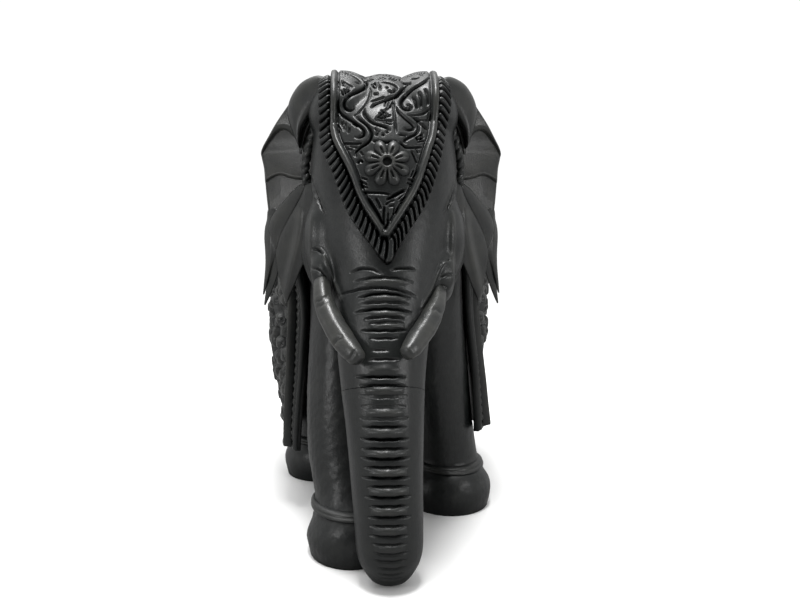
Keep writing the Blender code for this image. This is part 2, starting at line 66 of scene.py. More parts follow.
# Limbs: stations of (x, y, z, half width across, half width fore and aft).
TORSO = [
    (0, -34, 95, 14, 22), (0, -28, 95, 20, 33), (0, -17, 94, 26, 43), (0, 0, 94, 33, 48.5),
    (0, 22, 94, 37, 49.5), (0, 42, 93, 34, 46), (0, 56, 91, 26.5, 36), (0, 65, 89, 14.5, 20),
]
NECK = [(0, -38, 117, 20, 22), (0, -22, 112, 23, 27), (0, -4, 106, 27, 32)]
LEGS = {
    "front_right": [
        (-15, -19, 82, 9.8, 15), (-14.6, -27.5, 70, 9.8, 14), (-14.2, -34.5, 50, 11.2, 13),
        (-13.3, -40, 32, 11.9, 12), (-11.6, -45, 19, 11.3, 11.3), (-11, -47, 13, 12.3, 12.6),
        (-10.5, -48.7, 7, 15.1, 16), (-10.4, -48.6, 0, 13.9, 14.9), (-10.4, -48.4, -12, 12, 13),
    ],
    "front_left": [
        (16.8, -17, 88, 11, 15), (18, -16, 70, 10.6, 14.5), (19.8, -13, 50, 11.3, 13),
        (22.2, -10.5, 32, 11, 12), (24, -9, 19, 11.2, 11.3), (24.5, -9.2, 13, 12.3, 12.6),
        (25, -10.6, 7, 15.3, 15.9), (25, -10.6, 0, 14.1, 14.6), (25, -10.6, -12, 12, 12.6),
    ],
    "rear_right": [
        (-18, 44, 84, 15, 19), (-20, 42, 64, 14.5, 17), (-21.5, 36, 46, 13, 14),
        (-22.5, 31, 30, 11.8, 12), (-23, 28, 19, 11.2, 11.3), (-23.2, 27, 13, 12.3, 12.6),
        (-23.5, 26, 7, 15.1, 15.8), (-23.5, 26.2, 0, 13.9, 14.5), (-23.5, 26.2, -12, 12, 12.6),
    ],
    "rear_left": [
        (18, 46, 84, 15, 19), (20, 49, 64, 14.5, 16.5), (21.5, 51, 46, 13, 13.5),
        (22.5, 54, 30, 11.8, 12), (23, 56, 19, 11.2, 11.3), (23.2, 56.5, 13, 12.3, 12.6),
        (23.5, 56, 7, 15.1, 15.8), (23.5, 56, 0, 13.9, 14.5), (23.5, 56, -12, 12, 12.6),
    ],
}
FACE = [
    (0, -34, 137, 20, 12), (0, -36, 131, 22, 17), (0, -38.5, 120, 23, 19.5),
    (0, -42, 107, 22.4, 19), (0, -46, 96, 20.2, 18), (0, -51, 85, 16.5, 16),
]
TRUNK = [
    (0, -51, 85, 16.5, 16), (-1.2, -57, 73, 14.4, 13.8), (-1.5, -62.7, 60, 12.75, 12.2),
    (-1.1, -67.6, 46, 11.45, 11), (-0.7, -70.3, 32, 10.65, 10.4), (-0.2, -71.6, 19, 10.15, 9.8),
    (0, -71.8, 10, 9.8, 9.4), (0, -71.8, 5, 8, 7.8), (0, -71.8, 1, 5.2, 5.2),
]
TRUNK_TIP = [(0, -71.8, 9.5, 6.8, 7), (-4.6, -72, 9.8, 5.4, 5.6), (-6.5, -72, 10, 3.6, 3.6)]
# Rounded masses of the head, and last the rump: (centre, radii).
MASSES = [
    ((-12.8, -36, 137.4), (10.9, 13.5, 11)), ((12.8, -36, 137.4), (10.9, 13.5, 11)),
    ((0, -36, 136.5), (12, 13, 11)), ((-17, -43, 99), (8.2, 11, 15.5)),
    ((17, -43, 99), (8.2, 11, 15.5)), ((-18.6, -49.5, 89), (4.4, 7.5, 9)),
    ((16.8, -50, 88), (4.6, 7.5, 9)), ((0, -41, 84), (9, 10, 7.5)), ((0, 51, 90), (28, 18, 38)),
]
# Side views of (y, z): what the head block takes from the body, and the trunk's joint.
HEAD_NOTCH = [(-22, 170), (-22, 94), (-43.5, 72), (-50, 50), (-96, 67.7), (-96, 170)]
TRUNK_JOINT = [(-30, 42.3), (-96, 67.7), (-96, 170), (-30, 170)]
UNDERGROUND = [(-200, -100), (-200, 0), (200, 0), (200, -100)]
JOINT_GAP = 0.06
HEAD_CENTRE = (0, -36, 116)
# Round pieces: stations of (x, y, z, radius).
TUSKS = {
    "right": [
        (-17.6, -44, 91.5, 2.0), (-18.6, -50, 89, 2.1), (-19.2, -56, 85.9, 2.2),
        (-18.6, -60, 81.8, 2.4), (-16.4, -64.6, 77, 2.75), (-13.6, -69, 72.8, 2.8),
        (-11, -73, 69.8, 2.5), (-9.4, -75, 68.3, 2.1),
    ],
    "left": [
        (14.6, -44, 89.5, 1.9), (15.3, -50, 87, 2.0), (15.3, -57, 83.4, 2.1), (13.9, -62, 80, 2.3),
        (11.2, -67.4, 75.8, 2.6), (8.4, -71.3, 72.8, 2.6), (6.4, -74.4, 70.6, 2.35),
        (5.2, -76, 69.6, 1.9),
    ],
}
TAIL = [
    (0, 58, 117, 2.4), (0, 65.5, 116.5, 2.4), (0.2, 72.5, 112, 2.4), (0.8, 77, 101, 2.1),
    (1.5, 78.9, 84, 1.9), (1.9, 79, 70, 2.4), (2.0, 78.6, 62, 3.0), (2.0, 78, 54, 1.8),
]

# The headcloth in its own flat coordinates: across, and up the brow and over the crown.
# The borders at the right and at the left: a point of the ridge, and the fringe's end opposite it.
BORDER_RIGHT = [
    ((-15.3, 160), (-20.5, 155)), ((-15.3, 152), (-20.5, 147)), ((-15.3, 144), (-20.5, 138.5)),
    ((-15.4, 137), (-20.5, 132)), ((-15.4, 133), (-20, 127.5)), ((-14.6, 129), (-18.3, 123.3)),
    ((-13, 125.5), (-16.4, 119)), ((-10.8, 121), (-13.9, 112)), ((-9.2, 117), (-11.8, 107.4)),
    ((-7.8, 113), (-9.4, 103.6)), ((-5.8, 109), (-6.3, 99.8)), ((-3.2, 105), (-3, 95.6)),
    ((-1.2, 101.8), (-0.3, 93.2)),
]
BORDER_LEFT = [
    ((15.4, 160), (20.6, 155)), ((15.3, 152), (20.6, 147)), ((15.1, 144), (20.5, 139.5)),
    ((14.6, 136), (19, 132.3)), ((13.6, 130), (17.8, 127)), ((12.3, 126.5), (16.6, 122.3)),
    ((10.6, 121.5), (14.7, 116.5)), ((9, 117), (12.4, 111)), ((7.4, 113.5), (9.9, 107)),
    ((4.6, 109), (6.8, 102.8)), ((2, 105), (3.8, 98.5)), ((-0.2, 101.8), (0.9, 93.6)),
]
# Grooves: (sigma, depth, points). The last two run over the crown.
SCROLLS = [
    (0.42, 0.75, [
        (-12.5, 156), (-12, 153.3), (-10, 151.2), (-8.2, 149.6), (-7.4, 148.2), (-7.9, 147),
        (-9, 147.2),
    ]),
    (0.45, 0.8, [
        (-7, 151), (-5.8, 149), (-5.6, 147), (-6.2, 145.3), (-8, 143.7), (-10.5, 142.2),
        (-12, 140.5), (-12.2, 139), (-11.5, 138), (-10.3, 137.6), (-9.5, 138.1), (-9.9, 138.7),
    ]),
    (0.28, 0.5, [
        (-4.6, 145.5), (-4.4, 143.5), (-5, 141), (-6.2, 138.8), (-8, 136.6), (-9.2, 135.6),
    ]),
    (0.42, 0.75, [
        (-13.8, 141), (-14.2, 139), (-13.5, 137), (-11.5, 135.3), (-9, 133.6), (-7.2, 132.2),
        (-6.4, 131), (-6.8, 129.7), (-8, 129.2), (-9.2, 129.4),
    ]),
    (0.4, 0.75, [
        (-9.3, 136), (-8, 134.8), (-5.8, 133), (-4.4, 131), (-4.4, 129.3), (-5.5, 127.6),
        (-7.5, 126.3), (-8.9, 125), (-9, 123.9), (-8.2, 123.8),
    ]),
    (0.34, 0.6, [(-12.5, 127.6), (-9, 127.4), (-6.8, 127.6)]),
    (0.5, 0.8, [
        (-4.5, 138), (-2.5, 139.8), (1, 141.2), (3, 142), (4.2, 143.3), (5.5, 145), (6, 146.2),
    ]),
    (0.32, 0.5, [(-4.5, 140.2), (-1.5, 141.2), (0, 141.8)]),
    (0.38, 0.6, [
        (-1.2, 147.6), (1.5, 147), (3.2, 146), (3.4, 144.8), (2.4, 143.6), (1.2, 143.8),
        (1.5, 144.5),
    ]),
    (0.4, 0.7, [
        (-6.2, 138), (-6.4, 136.5), (-5.2, 134.5), (-3.5, 133.3), (-1, 132.5), (0.5, 131.8),
        (1, 130.8),
    ]),
    (0.32, 0.55, [(2.3, 141), (2.4, 138), (2.5, 134), (2.8, 130.3)]),
    (0.36, 0.6, [(-4.2, 128.2), (-2, 127.8), (0.5, 127.7), (3, 127.9)]),
    (0.36, 0.65, [(4.8, 151.5), (5, 149.5), (6, 148), (7.6, 147), (8, 146.6)]),
    (0.45, 0.8, [
        (13.6, 149.5), (12.5, 147.6), (10.5, 146), (8, 144.3), (6, 142.3), (4.8, 140.5), (4.6, 139),
        (5.4, 138), (6.8, 137.8), (7.6, 138.6), (7, 139.3), (6.2, 138.9),
    ]),
    (0.32, 0.55, [(8, 148), (6.2, 146), (5, 144.2), (4, 142.5), (3.6, 141.6)]),
    (0.4, 0.7, [
        (3, 138.6), (3.6, 137), (5.5, 135), (7.5, 133.2), (8, 132.2), (7.2, 131.6), (5.6, 131.6),
        (4.9, 132.1),
    ]),
    (0.4, 0.7, [
        (6.8, 136), (8, 135.4), (9.4, 134), (9.4, 132), (8.8, 130.5), (7, 129.5), (5.4, 128.6),
        (5, 127.8), (5.6, 127.3),
    ]),
    (0.36, 0.6, [(6.2, 136), (9, 136.2), (11.5, 137), (13.3, 138.4)]),
    (0.36, 0.6, [(8.5, 135.5), (10.5, 133.2), (12.3, 131.5)]),
    (0.34, 0.6, [(8.2, 142), (9, 140), (9.2, 138)]),
    (0.34, 0.6, [(10, 143.5), (10.6, 141), (10.5, 138.5)]),
    (0.34, 0.6, [(11.8, 144.5), (12.6, 142), (12.5, 139)]),
    (0.34, 0.6, [(8, 150), (9.5, 149.2), (10.5, 149.8)]),
    (0.34, 0.6, [(3.4, 128), (4.8, 126.8), (6, 126.2), (10.5, 126.5)]),
    (0.34, 0.6, [(7, 125.5), (8, 123.5), (8.8, 121.5)]),
    (0.34, 0.6, [(-7.2, 113.4), (-4, 113.3), (-1, 113.2), (1.5, 112.6)]),
    (0.5, 0.75, [(-0.5, 111.2), (2.5, 112.8), (5.5, 114.2)]),
    (0.36, 0.65, [(-5.6, 112), (-2.5, 107), (-1.6, 104)]),
    (0.36, 0.6, [(-3.6, 112), (-2.6, 110.5), (-1.8, 108.5)]),
    (0.36, 0.65, [(-0.9, 109.8), (-1.2, 106), (-1.2, 104)]),
    (0.3, 0.55, [(-0.7, 109.6), (0.6, 110.8), (2.2, 111.2)]),
    (0.36, 0.6, [(-8.6, 121.6), (-7.6, 122.6), (-6.8, 121.8)]),
    (0.42, 0.7, [(0, 158), (-1.5, 155), (-3.6, 153.5), (-5, 155), (-4, 157), (-2.6, 156)]),
    (0.42, 0.7, [(1.4, 158), (2.6, 155.5), (4.8, 154.6), (6, 156.4), (4.6, 158), (3.4, 157)]),
]
# Single short cuts between the scrolls.
HATCHES = [
    ((-13, 147), (-9.5, 144.7)), ((-13, 145.8), (-10, 144.4)), ((-13, 142.3), (-10.3, 144.1)),
    ((-12.8, 134.5), (-12.6, 133)), ((-11.8, 134), (-12, 131)), ((-10.6, 132.5), (-10.9, 130.4)),
    ((-9.8, 133.6), (-8.2, 132.4)), ((-11.5, 126.2), (-9.8, 125.6)),
    ((-10.8, 126.8), (-8.3, 126.2)), ((-7.6, 125.2), (-6.7, 124)), ((-3.5, 147), (-2.5, 147.3)),
    ((-3.8, 146.5), (-2.6, 144.8)), ((-1.5, 146.2), (-1.5, 144)), ((0.4, 145.5), (0.8, 144.6)),
    ((-3.5, 142.8), (-2, 142.8)), ((-3.3, 134.4), (1.9, 139.2)), ((-3.3, 134.4), (1.5, 135.8)),
    ((-3.3, 134.4), (2, 134)), ((-3.3, 134.4), (1.8, 133)), ((-3.4, 132), (-2, 130.6)),
    ((-2.5, 130.8), (-3, 129.5)), ((-1, 130.5), (-1, 129.4)), ((0, 131.2), (0.4, 130.3)),
    ((9, 134.6), (13, 134.8)), ((10.6, 153.5), (11.6, 150.5)), ((8.5, 126), (9.2, 124.5)),
    ((10, 128), (10.6, 131)), ((8.6, 129.5), (9, 128.4)), ((3.4, 130), (6, 129.8)),
    ((-8, 116.8), (-5.6, 115.5)), ((-8, 115.6), (-5.4, 114.6)), ((-7.5, 117.6), (-5.5, 117)),
    ((5.5, 116.3), (7.2, 115.4)), ((5.8, 117.2), (7.8, 116.6)), ((0.2, 109.4), (2.3, 109.8)),
    ((0.2, 108), (0, 105)),
]
FLOWER = (0, 121.8)
FLOWER_RADIUS = 7.0

# The trunk's cuts: (from x, to x, height at the ends, height in the middle, depth).
CUTS = [
    (-11, -1.5, 89.9, 91.6, 0.8), (0.5, 8, 91.2, 91.7, 0.8), (-10, 7.5, 87.6, 89.3, 0.9),
    (-14, 8.5, 83.4, 86.4, 0.8), (-9, 6.5, 83.2, 84.8, 1.1), (-8.5, 6, 81.6, 82.4, 0.7),
    (-10, 7, 79, 80.6, 1.0), (-7, 4.5, 77.6, 78.4, 0.9), (-5.5, 4.5, 76.4, 76.9, 0.7),
    (-8, 5, 74.4, 74.7, 0.9), (-5.5, 2.5, 72.4, 72.6, 0.7), (-5, 0, 69.2, 69.4, 0.6),
    (-6, 3, 66.6, 67, 0.7), (-9.6, 4.8, 61.8, 62.2, 1.0), (-8.6, 4.6, 59.4, 60, 0.9),
    (-8.6, 5.1, 56.6, 56.9, 1.0), (-8.1, 4.6, 53.8, 54.2, 0.9), (-8.4, 5.2, 50.8, 51, 1.0),
    (-7.8, 4.6, 48.4, 48.8, 0.9), (-8.4, 5.3, 45.2, 45.4, 1.1), (-8.1, 5, 42.4, 42.9, 0.9),
    (-8.3, 5.5, 40, 40.1, 1.1), (-7.5, 4.8, 37.4, 37.8, 0.9), (-8.1, 5.6, 34.5, 34.9, 1.1),
    (-6.7, 5.1, 32, 32.5, 0.9), (-7.4, 5.8, 29.2, 29.4, 1.1), (-6.1, 5.2, 26.6, 26.9, 0.9),
    (-6.6, 5.8, 23.4, 23.8, 1.0), (-6.3, 4.7, 21, 21.2, 0.8), (-6.3, 5.1, 18.2, 18.2, 0.8),
    (-5.5, 4.7, 15.9, 15.8, 0.7), (-5, 5.2, 13.4, 13, 0.6), (-5, 4.6, 11.2, 10.8, 0.6),
    (-4, 4.5, 9, 8.4, 0.5), (-3.8, 3.6, 6.9, 6.3, 0.5), (-3, 3, 5, 4.6, 0.4),
]
# The bright swellings between them: (from x, to x, height, how proud).
SWELLS = [
    (-8.5, 7, 88.1, 0.55), (-7, 5.5, 83.4, 0.45), (-6, 5, 79, 0.35), (-4, 4.5, 75.9, 0.45),
    (-6, 3, 64.2, 0.4), (-7, 4, 58.6, 0.5), (-6.5, 4, 52.6, 0.6), (-6.5, 4, 47.2, 0.6),
    (-7, 4.5, 41.4, 0.65), (-6, 4.5, 36.2, 0.7), (-6, 5, 30.9, 0.65), (-5.5, 4.5, 25.4, 0.6),
    (-5, 4.5, 19.8, 0.45), (-4.5, 4, 14.5, 0.3),
]


def turns(count):
    """Evenly spaced angles round a full turn."""
    return 2 * math.pi * np.arange(count) / count


def catmull_rom(stations, steps):
    """The rows, with steps - 1 smooth ones between each two."""
    rows = np.asarray(stations, float)
    padded = np.concatenate([rows[:1], rows, rows[-1:]])
    t = (np.arange(steps) / steps).reshape((1, -1) + (1,) * (rows.ndim - 1))
    a, b, c, d = (padded[i : len(rows) - 1 + i][:, None] for i in range(4))
    smooth = 2 * b + (c - a) * t + (2 * a - 5 * b + 4 * c - d) * t**2 + (3 * b - a - 3 * c + d) * t**3
    return np.concatenate([0.5 * smooth.reshape((-1,) + rows.shape[1:]), rows[-1:]])


def refine(grid, steps):
    """The grid of points with smooth ones between them, along both of its axes."""
    grid = catmull_rom(grid, steps[0])
    return catmull_rom(grid.swapaxes(0, 1), steps[1]).swapaxes(0, 1)


def unit(vectors):
    return vectors / np.maximum(np.linalg.norm(vectors, axis=-1, keepdims=True), 1e-9)


# Meshes from arrays, and back.


def read(mesh, normals=False):
    """The mesh's points in carving units, or its vertex normals."""
    flat = np.empty(len(mesh.vertices) * 3, np.float32)
    if normals:
        mesh.vertex_normals.foreach_get("vector", flat)
        return flat.reshape(-1, 3).astype(float)
    mesh.vertices.foreach_get("co", flat)
    return flat.reshape(-1, 3) / MM


def write(mesh, points):
    mesh.vertices.foreach_set("co", (points * MM).astype(np.float32).ravel())
    mesh.update()


def mark_relief(mesh, relief):
    """Keeps how proud (1) or sunk (0) each point is, for the finish, which paints shade in the sunk
    points and a highlight on the proud ones.
    """
    attribute = mesh.attributes.new("relief", "FLOAT", "POINT")
    attribute.data.foreach_set("value", np.clip(relief, 0, 1).astype(np.float32).ravel())


def new_object(name, mesh, wood):
    obj = bpy.data.objects.new(name, mesh)
    bpy.context.scene.collection.objects.link(obj)
    mesh.materials.clear()
    mesh.materials.append(wood)
    mesh.shade_smooth()
    return obj


def grid_faces(rows, columns, cyclic=False):
    """The corners of each face between neighbouring points of a grid."""
    wide = columns if cyclic else columns - 1
    i, j = np.meshgrid(np.arange(rows - 1), np.arange(wide), indexing="ij")
    k = (j + 1) % columns
    corners = (i * columns + j, i * columns + k, (i + 1) * columns + k, (i + 1) * columns + j)
    return np.stack([c.ravel() for c in corners], axis=1)


def mesh_of(name, points, faces, relief):
    """A mesh of those faces, without the points that no face uses."""
    used, renumbered = np.unique(faces, return_inverse=True)
    mesh = bpy.data.meshes.new(name)
    mesh.from_pydata((points[used] * MM).tolist(), [], renumbered.reshape(faces.shape).tolist())
    mark_relief(mesh, relief[used])
    return mesh


def grid_normals(grid, outwards):
    """Unit normals of the grid, on the side where outwards points."""
    normals = unit(np.cross(np.gradient(grid, axis=0), np.gradient(grid, axis=1)))
    flip = np.sign((normals * outwards).sum(-1, keepdims=True))
    return normals * np.where(flip == 0, 1, flip)


def mesh_from(bm, name):
    """Frees the bmesh and returns a mesh of it."""
    mesh = bpy.data.meshes.new(name)
    bm.to_mesh(mesh)
    bm.free()
    return mesh


def turn_outwards(mesh):
    """Makes the closed mesh's faces all look outwards."""
    bm = bmesh.new()
    bm.from_mesh(mesh)
    bmesh.ops.recalc_face_normals(bm, faces=bm.faces)
    bm.to_mesh(mesh)
    bm.free()


def closed_shell(name, outer, inner, relief, cyclic=False):
    """A solid between two grids of points; a cyclic grid's rows are rings."""
    rows, columns = outer.shape[:2]
    count = rows * columns
    faces = grid_faces(rows, columns, cyclic)
    walls = []
    wide = columns if cyclic else columns - 1
    for i in (0, rows - 1):
        for j in range(wide):
            a, b = i * columns + j, i * columns + (j + 1) % columns
            walls.append((a, b, b + count, a + count))
    if not cyclic:
        for j in (0, columns - 1):
            for i in range(rows - 1):
                a, b = i * columns + j, (i + 1) * columns + j
                walls.append((a, b, b + count, a + count))
    points = np.concatenate([outer.reshape(-1, 3), inner.reshape(-1, 3)])
    every = np.concatenate([faces, faces + count, np.array(walls)])
    heights = np.concatenate([relief.ravel(), np.full(count, 0.3)])
    mesh = mesh_of(name, points, every, heights)
    turn_outwards(mesh)
    return new_object(name, mesh, EBONY)


# Carved forms: overlapping shapes, made one and smoothed.


def add_limb(bm, stations, sides=32):
    """A closed tube through the stations, with an elliptical section across each."""
    path = catmull_rom(stations, 4)
    centres = path[:, :3] * MM
    along = unit(np.gradient(centres, axis=0))
    side = unit(np.array([1.0, 0, 0]) - along * along[:, :1])
    front = np.cross(along, side)
    across, fore = side * path[:, 3:4] * MM, front * path[:, 4:5] * MM
    rings = []
    for i in range(len(path)):
        rims = [across[i] * math.cos(a) + fore[i] * math.sin(a) for a in turns(sides)]
        rings.append([bm.verts.new(centres[i] + rim) for rim in rims])
    for ring, following in zip(rings, rings[1:]):
        for i in range(sides):
            j = (i + 1) % sides
            bm.faces.new((ring[i], ring[j], following[j], following[i]))
    bm.faces.new(rings[0][::-1])
    bm.faces.new(rings[-1])


def add_mass(bm, centre, radii):
    """An ellipsoid."""
    matrix = Matrix.Translation(Vector(centre) * MM) @ Matrix.Diagonal((*(Vector(radii) * MM), 1))
    bmesh.ops.create_uvsphere(bm, u_segments=32, v_segments=20, radius=1, matrix=matrix)


def bake(obj):
    """Replaces the object's mesh by what its modifiers make of it."""
    bpy.context.view_layer.update()
    graph = bpy.context.evaluated_depsgraph_get()
    mesh = bpy.data.meshes.new_from_object(obj.evaluated_get(graph))
    obj.modifiers.clear()
    obj.data = mesh
    mesh.shade_smooth()


BODY_VOXEL, HEAD_VOXEL, TRUNK_VOXEL = 0.8, 0.32, 0.25
SMOOTHING = 17.0  # smoothing steps times the voxel squared: the same roundness at any voxel


def carve(name, limbs, masses, voxel):
    """One smoothed form of the overlapping limbs and masses."""
    bm = bmesh.new()
    for stations in limbs:
        add_limb(bm, stations)
    for centre, radii in masses:
        add_mass(bm, centre, radii)
    bmesh.ops.recalc_face_normals(bm, faces=bm.faces)
    form = new_object(name, mesh_from(bm, name), EBONY)
    remesh = form.modifiers.new("Remesh", "REMESH")
    remesh.mode = "VOXEL"
    remesh.voxel_size = voxel * MM
    smooth = form.modifiers.new("Smooth", "SMOOTH")
    smooth.factor = 0.5
    smooth.iterations = round(SMOOTHING / voxel**2)
    bake(form)
    return form


def tree_of(obj):
    """A search tree in carving units."""
    points = [tuple(p) for p in read(obj.data)]
    return BVHTree.FromPolygons(points, [tuple(p.vertices) for p in obj.data.polygons])


def prism(outline, shift):
    """A cutter: a side view outline, drawn through the full width of the figure."""
    bm = bmesh.new()
    near = [bm.verts.new(Vector((-100, y + shift[0], z + shift[1])) * MM) for y, z in outline]
    moved = bmesh.ops.extrude_face_region(bm, geom=[bm.faces.new(near)])["geom"]
    verts = [v for v in moved if isinstance(v, bmesh.types.BMVert)]
    bmesh.ops.translate(bm, verts=verts, vec=Vector((200, 0, 0)) * MM)
    bmesh.ops.recalc_face_normals(bm, faces=bm.faces)
    cutter = bpy.data.objects.new("cutter", mesh_from(bm, "cutter"))
    bpy.context.scene.collection.objects.link(cutter)
    return cutter


def cut(obj, cutter, operation):
    """Cuts the object with the cutter, which is then removed."""
    boolean = obj.modifiers.new("Cut", "BOOLEAN")
    boolean.operation = operation
    boolean.object = cutter
    boolean.solver = "MANIFOLD"
    bake(obj)
    bpy.data.objects.remove(cutter)


# Reliefs in flat coordinates.


def to_line(flat, line):
    """How far each flat point is from the line, and its share of the way along it."""
    pieces = np.linalg.norm(np.diff(line, axis=0), axis=1)
    starts = np.concatenate([[0], np.cumsum(pieces)])
    nearest = np.full(len(flat), np.inf)
    share = np.zeros(len(flat))
    for a, b, start, length in zip(line, line[1:], starts, pieces):
        if length < 1e-9:
            continue
        t = np.clip((flat - a) @ (b - a) / length**2, 0, 1)
        distance = np.linalg.norm(flat - a - t[:, None] * (b - a), axis=1)
        closer = distance < nearest
        nearest[closer] = distance[closer]
        share[closer] = (start + t[closer] * length) / starts[-1]
    return nearest, share


def inside(flat, outline):
    """Whether each flat point is inside the closed outline."""
    x, y = flat.T
    odd = np.zeros(len(flat), bool)
    for (ax, ay), (bx, by) in zip(outline, np.roll(outline, -1, axis=0)):
        crosses = (ay > y) != (by > y)
        odd ^= crosses & (x < (bx - ax) * (y - ay) / (by - ay + 1e-12) + ax)
    return odd


def close_to(flat, line, reach):
    """Whether each flat point is within the line's box, grown by reach."""
    return np.all((flat > line.min(0) - reach) & (flat < line.max(0) + reach), axis=1)


def stroke(flat, line, sigma, taper=0.15, steps=4):
    """1 on the line's middle and falling off beside it, with ends that fade."""
    line = catmull_rom(line, steps)
    near = close_to(flat, line, 3 * sigma)
    mask = np.zeros(len(flat))
    if near.any():
        distance, share = to_line(flat[near], line)
        fade = np.sqrt(np.clip(np.minimum(share, 1 - share) / taper, 0, 1)) if taper else 1.0
        mask[near] = fade * np.exp(-((distance / (sigma * (0.45 + 0.55 * fade))) ** 2))
    return mask


def pad(flat, outline, edge):
    """1 well inside the outline, rounding down to 0 at it over the width of edge."""
    outline = np.asarray(outline, float)
    near = close_to(flat, outline, 0)
    height = np.zeros(len(flat))
    if near.any():
        within = inside(flat[near], outline)
        distance = to_line(flat[near], np.concatenate([outline, outline[:1]]))[0]
        rise = 1 - (1 - np.clip(distance / edge, 0, 1)) ** 2
        height[near] = np.where(within, np.sqrt(rise), 0)
    return height


def deepest(flat, strokes):
    """The deepest of the (sigma, depth, line) grooves at each point."""
    depth = np.zeros(len(flat))
    for sigma, deep, line in strokes:
        depth = np.maximum(depth, deep * stroke(flat, line, sigma))
    return depth


def ripple(points, size, seed):
    """Smooth noise from -1 to 1 over the points, of about that size in carving units."""
    rng = np.random.default_rng(seed)
    total = np.zeros(len(points))
    for _ in range(7):
        wave = unit(rng.normal(size=3)) * 2 * math.pi / (size * rng.uniform(0.7, 1.5))
        total += np.sin(points @ wave + rng.uniform(0, 2 * math.pi))
    return total / 4


# Finishes.


def node(tree, kind, **inputs):
    made = tree.nodes.new(kind)
    for name, value in inputs.items():
        made.inputs[name.replace("_", " ")].default_value = value
    return made


def joined(tree, kind, source, **inputs):
    """A node with the source linked to its first input."""
    made = node(tree, kind, **inputs)
    tree.links.new(source, made.inputs[0])
    return made


def noise(tree, source, scale, detail, roughness):
    inputs = {"Scale": scale, "Detail": detail, "Roughness": roughness}
    return joined(tree, "ShaderNodeTexNoise", source, **inputs).outputs["Fac"]


def tones(tree, source, *stops):
    """A colour ramp with (position, colour) stops."""
    ramp = joined(tree, "ShaderNodeValToRGB", source)
    elements = ramp.color_ramp.elements
    while len(elements) < len(stops):
        elements.new(0.5)
    for element, (position, colour) in zip(elements, stops):
        element.position = position
        element.color = (*colour, 1)
    return ramp.outputs["Color"]


def spread(tree, source, start, end, low, high, interpolation="LINEAR"):
    """The source's values from start to end, spread from low to high."""
    inputs = {"From_Min": start, "From_Max": end, "To_Min": low, "To_Max": high}
    made = joined(tree, "ShaderNodeMapRange", source, **inputs)
    made.interpolation_type = interpolation
    return made.outputs["Result"]


def combine(tree, operation, one, *others):
    """A sum or another operation on one link and others, which are links or values."""
    made = joined(tree, "ShaderNodeMath", one)
    made.operation = operation
    for socket, other in zip(list(made.inputs)[1:], others):
        if isinstance(other, float):
            socket.default_value = other
        else:
            tree.links.new(other, socket)
    return made.outputs["Value"]


def new_material(name):
    """A material, its node tree and its shader."""
    made = bpy.data.materials.new(name)
    made.use_nodes = True
    return made, made.node_tree, made.node_tree.nodes["Principled BSDF"]


def object_place(tree):
    return node(tree, "ShaderNodeTexCoord").outputs["Object"]


def roughen(tree, shader, height, strength, distance):
    """Gives the shader a bump."""
    bump = node(tree, "ShaderNodeBump", Strength=strength, Distance=distance)
    tree.links.new(height, bump.inputs["Height"])
    tree.links.new(bump.outputs["Normal"], shader.inputs["Normal"])


def ebonised():
    """Black stained wood under a rubbed satin finish, with painted shade in its hollows and a painted
    highlight on its proud parts.
    """
    made, tree, shader = new_material("ebonised_wood")
    link = tree.links.new
    place = object_place(tree)
    patches = noise(tree, place, 170.0, 4.0, 0.6)
    specks = noise(tree, place, 2600.0, 3.0, 0.65)
    stretch = joined(tree, "ShaderNodeMapping", place, Scale=(1400, 1400, 160))
    streaks = noise(tree, stretch.outputs["Vector"], 1.0, 5.0, 0.6)
    attribute = node(tree, "ShaderNodeAttribute")
    attribute.attribute_name = "relief"
    relief = attribute.outputs["Fac"]

    mix = node(tree, "ShaderNodeMix")
    mix.data_type = "RGBA"
    mix.blend_type = "MULTIPLY"
    mix.inputs["Factor"].default_value = 1.0
    # The colour follows the relief: near black in the sunk cuts as painted shade, lighter on the
    # proud parts as a painted highlight.
    sunk, flush, proud = (0.0012, 0.0016, 0.0016), (0.0085, 0.0100, 0.0098), (0.034, 0.035, 0.033)
    link(tones(tree, relief, (0.05, sunk), (0.5, flush), (1.0, proud)), mix.inputs[6])
    link(tones(tree, patches, (0.35, (0.72, 0.74, 0.76)), (0.7, (1.3, 1.27, 1.2))), mix.inputs[7])
    link(mix.outputs[2], shader.inputs["Base Color"])

    rubbed = spread(tree, specks, 0.3, 0.72, 0.34, 0.50)
    link(combine(tree, "MULTIPLY_ADD", relief, -0.08, rubbed), shader.inputs["Roughness"])
    # A metal this black reflects nothing: the cuts are filled with painted shade, black and without
    # any reflection.
    link(spread(tree, relief, 0.34, 0.08, 0.0, 1.0), shader.inputs["Metallic"])
    roughen(tree, shader, combine(tree, "ADD", streaks, specks), 0.35, 0.00012)
    return made


def beech():
    """Pale dowel wood, with rays and end grain streaks."""
    made, tree, shader = new_material("dowel_beech")
    shader.inputs["Roughness"].default_value = 0.6
    stretch = joined(tree, "ShaderNodeMapping", object_place(tree), Scale=(1800, 150, 1800))
    fibres = noise(tree, stretch.outputs["Vector"], 1.0, 6.0, 0.65)
    colour = tones(tree, fibres, (0.35, (0.38, 0.25, 0.13)), (0.65, (0.62, 0.45, 0.27)))
    tree.links.new(colour, shader.inputs["Base Color"])
    roughen(tree, shader, fibres, 0.4, 0.0002)
    return made


EBONY = ebonised()
BEECH = beech()


def finish_piece(obj, node_name):
    """Puts the carving in the place of the CAD node."""
    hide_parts(node_name)
    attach(obj, "root")


# The carved body, head and trunk.

CUT_SIGMA, SWELL_SIGMA, SWELL_RISE = 0.34, 1.15, 1.3


def bowed(x0, x1, ends, middle):
    """A line across the trunk, higher or lower in the middle than at its ends."""
    xs = np.linspace(x0, x1, 7)
    share = (xs - x0) / (x1 - x0) * 2 - 1
    return np.stack([xs, middle + (ends - middle) * share**2], axis=1)


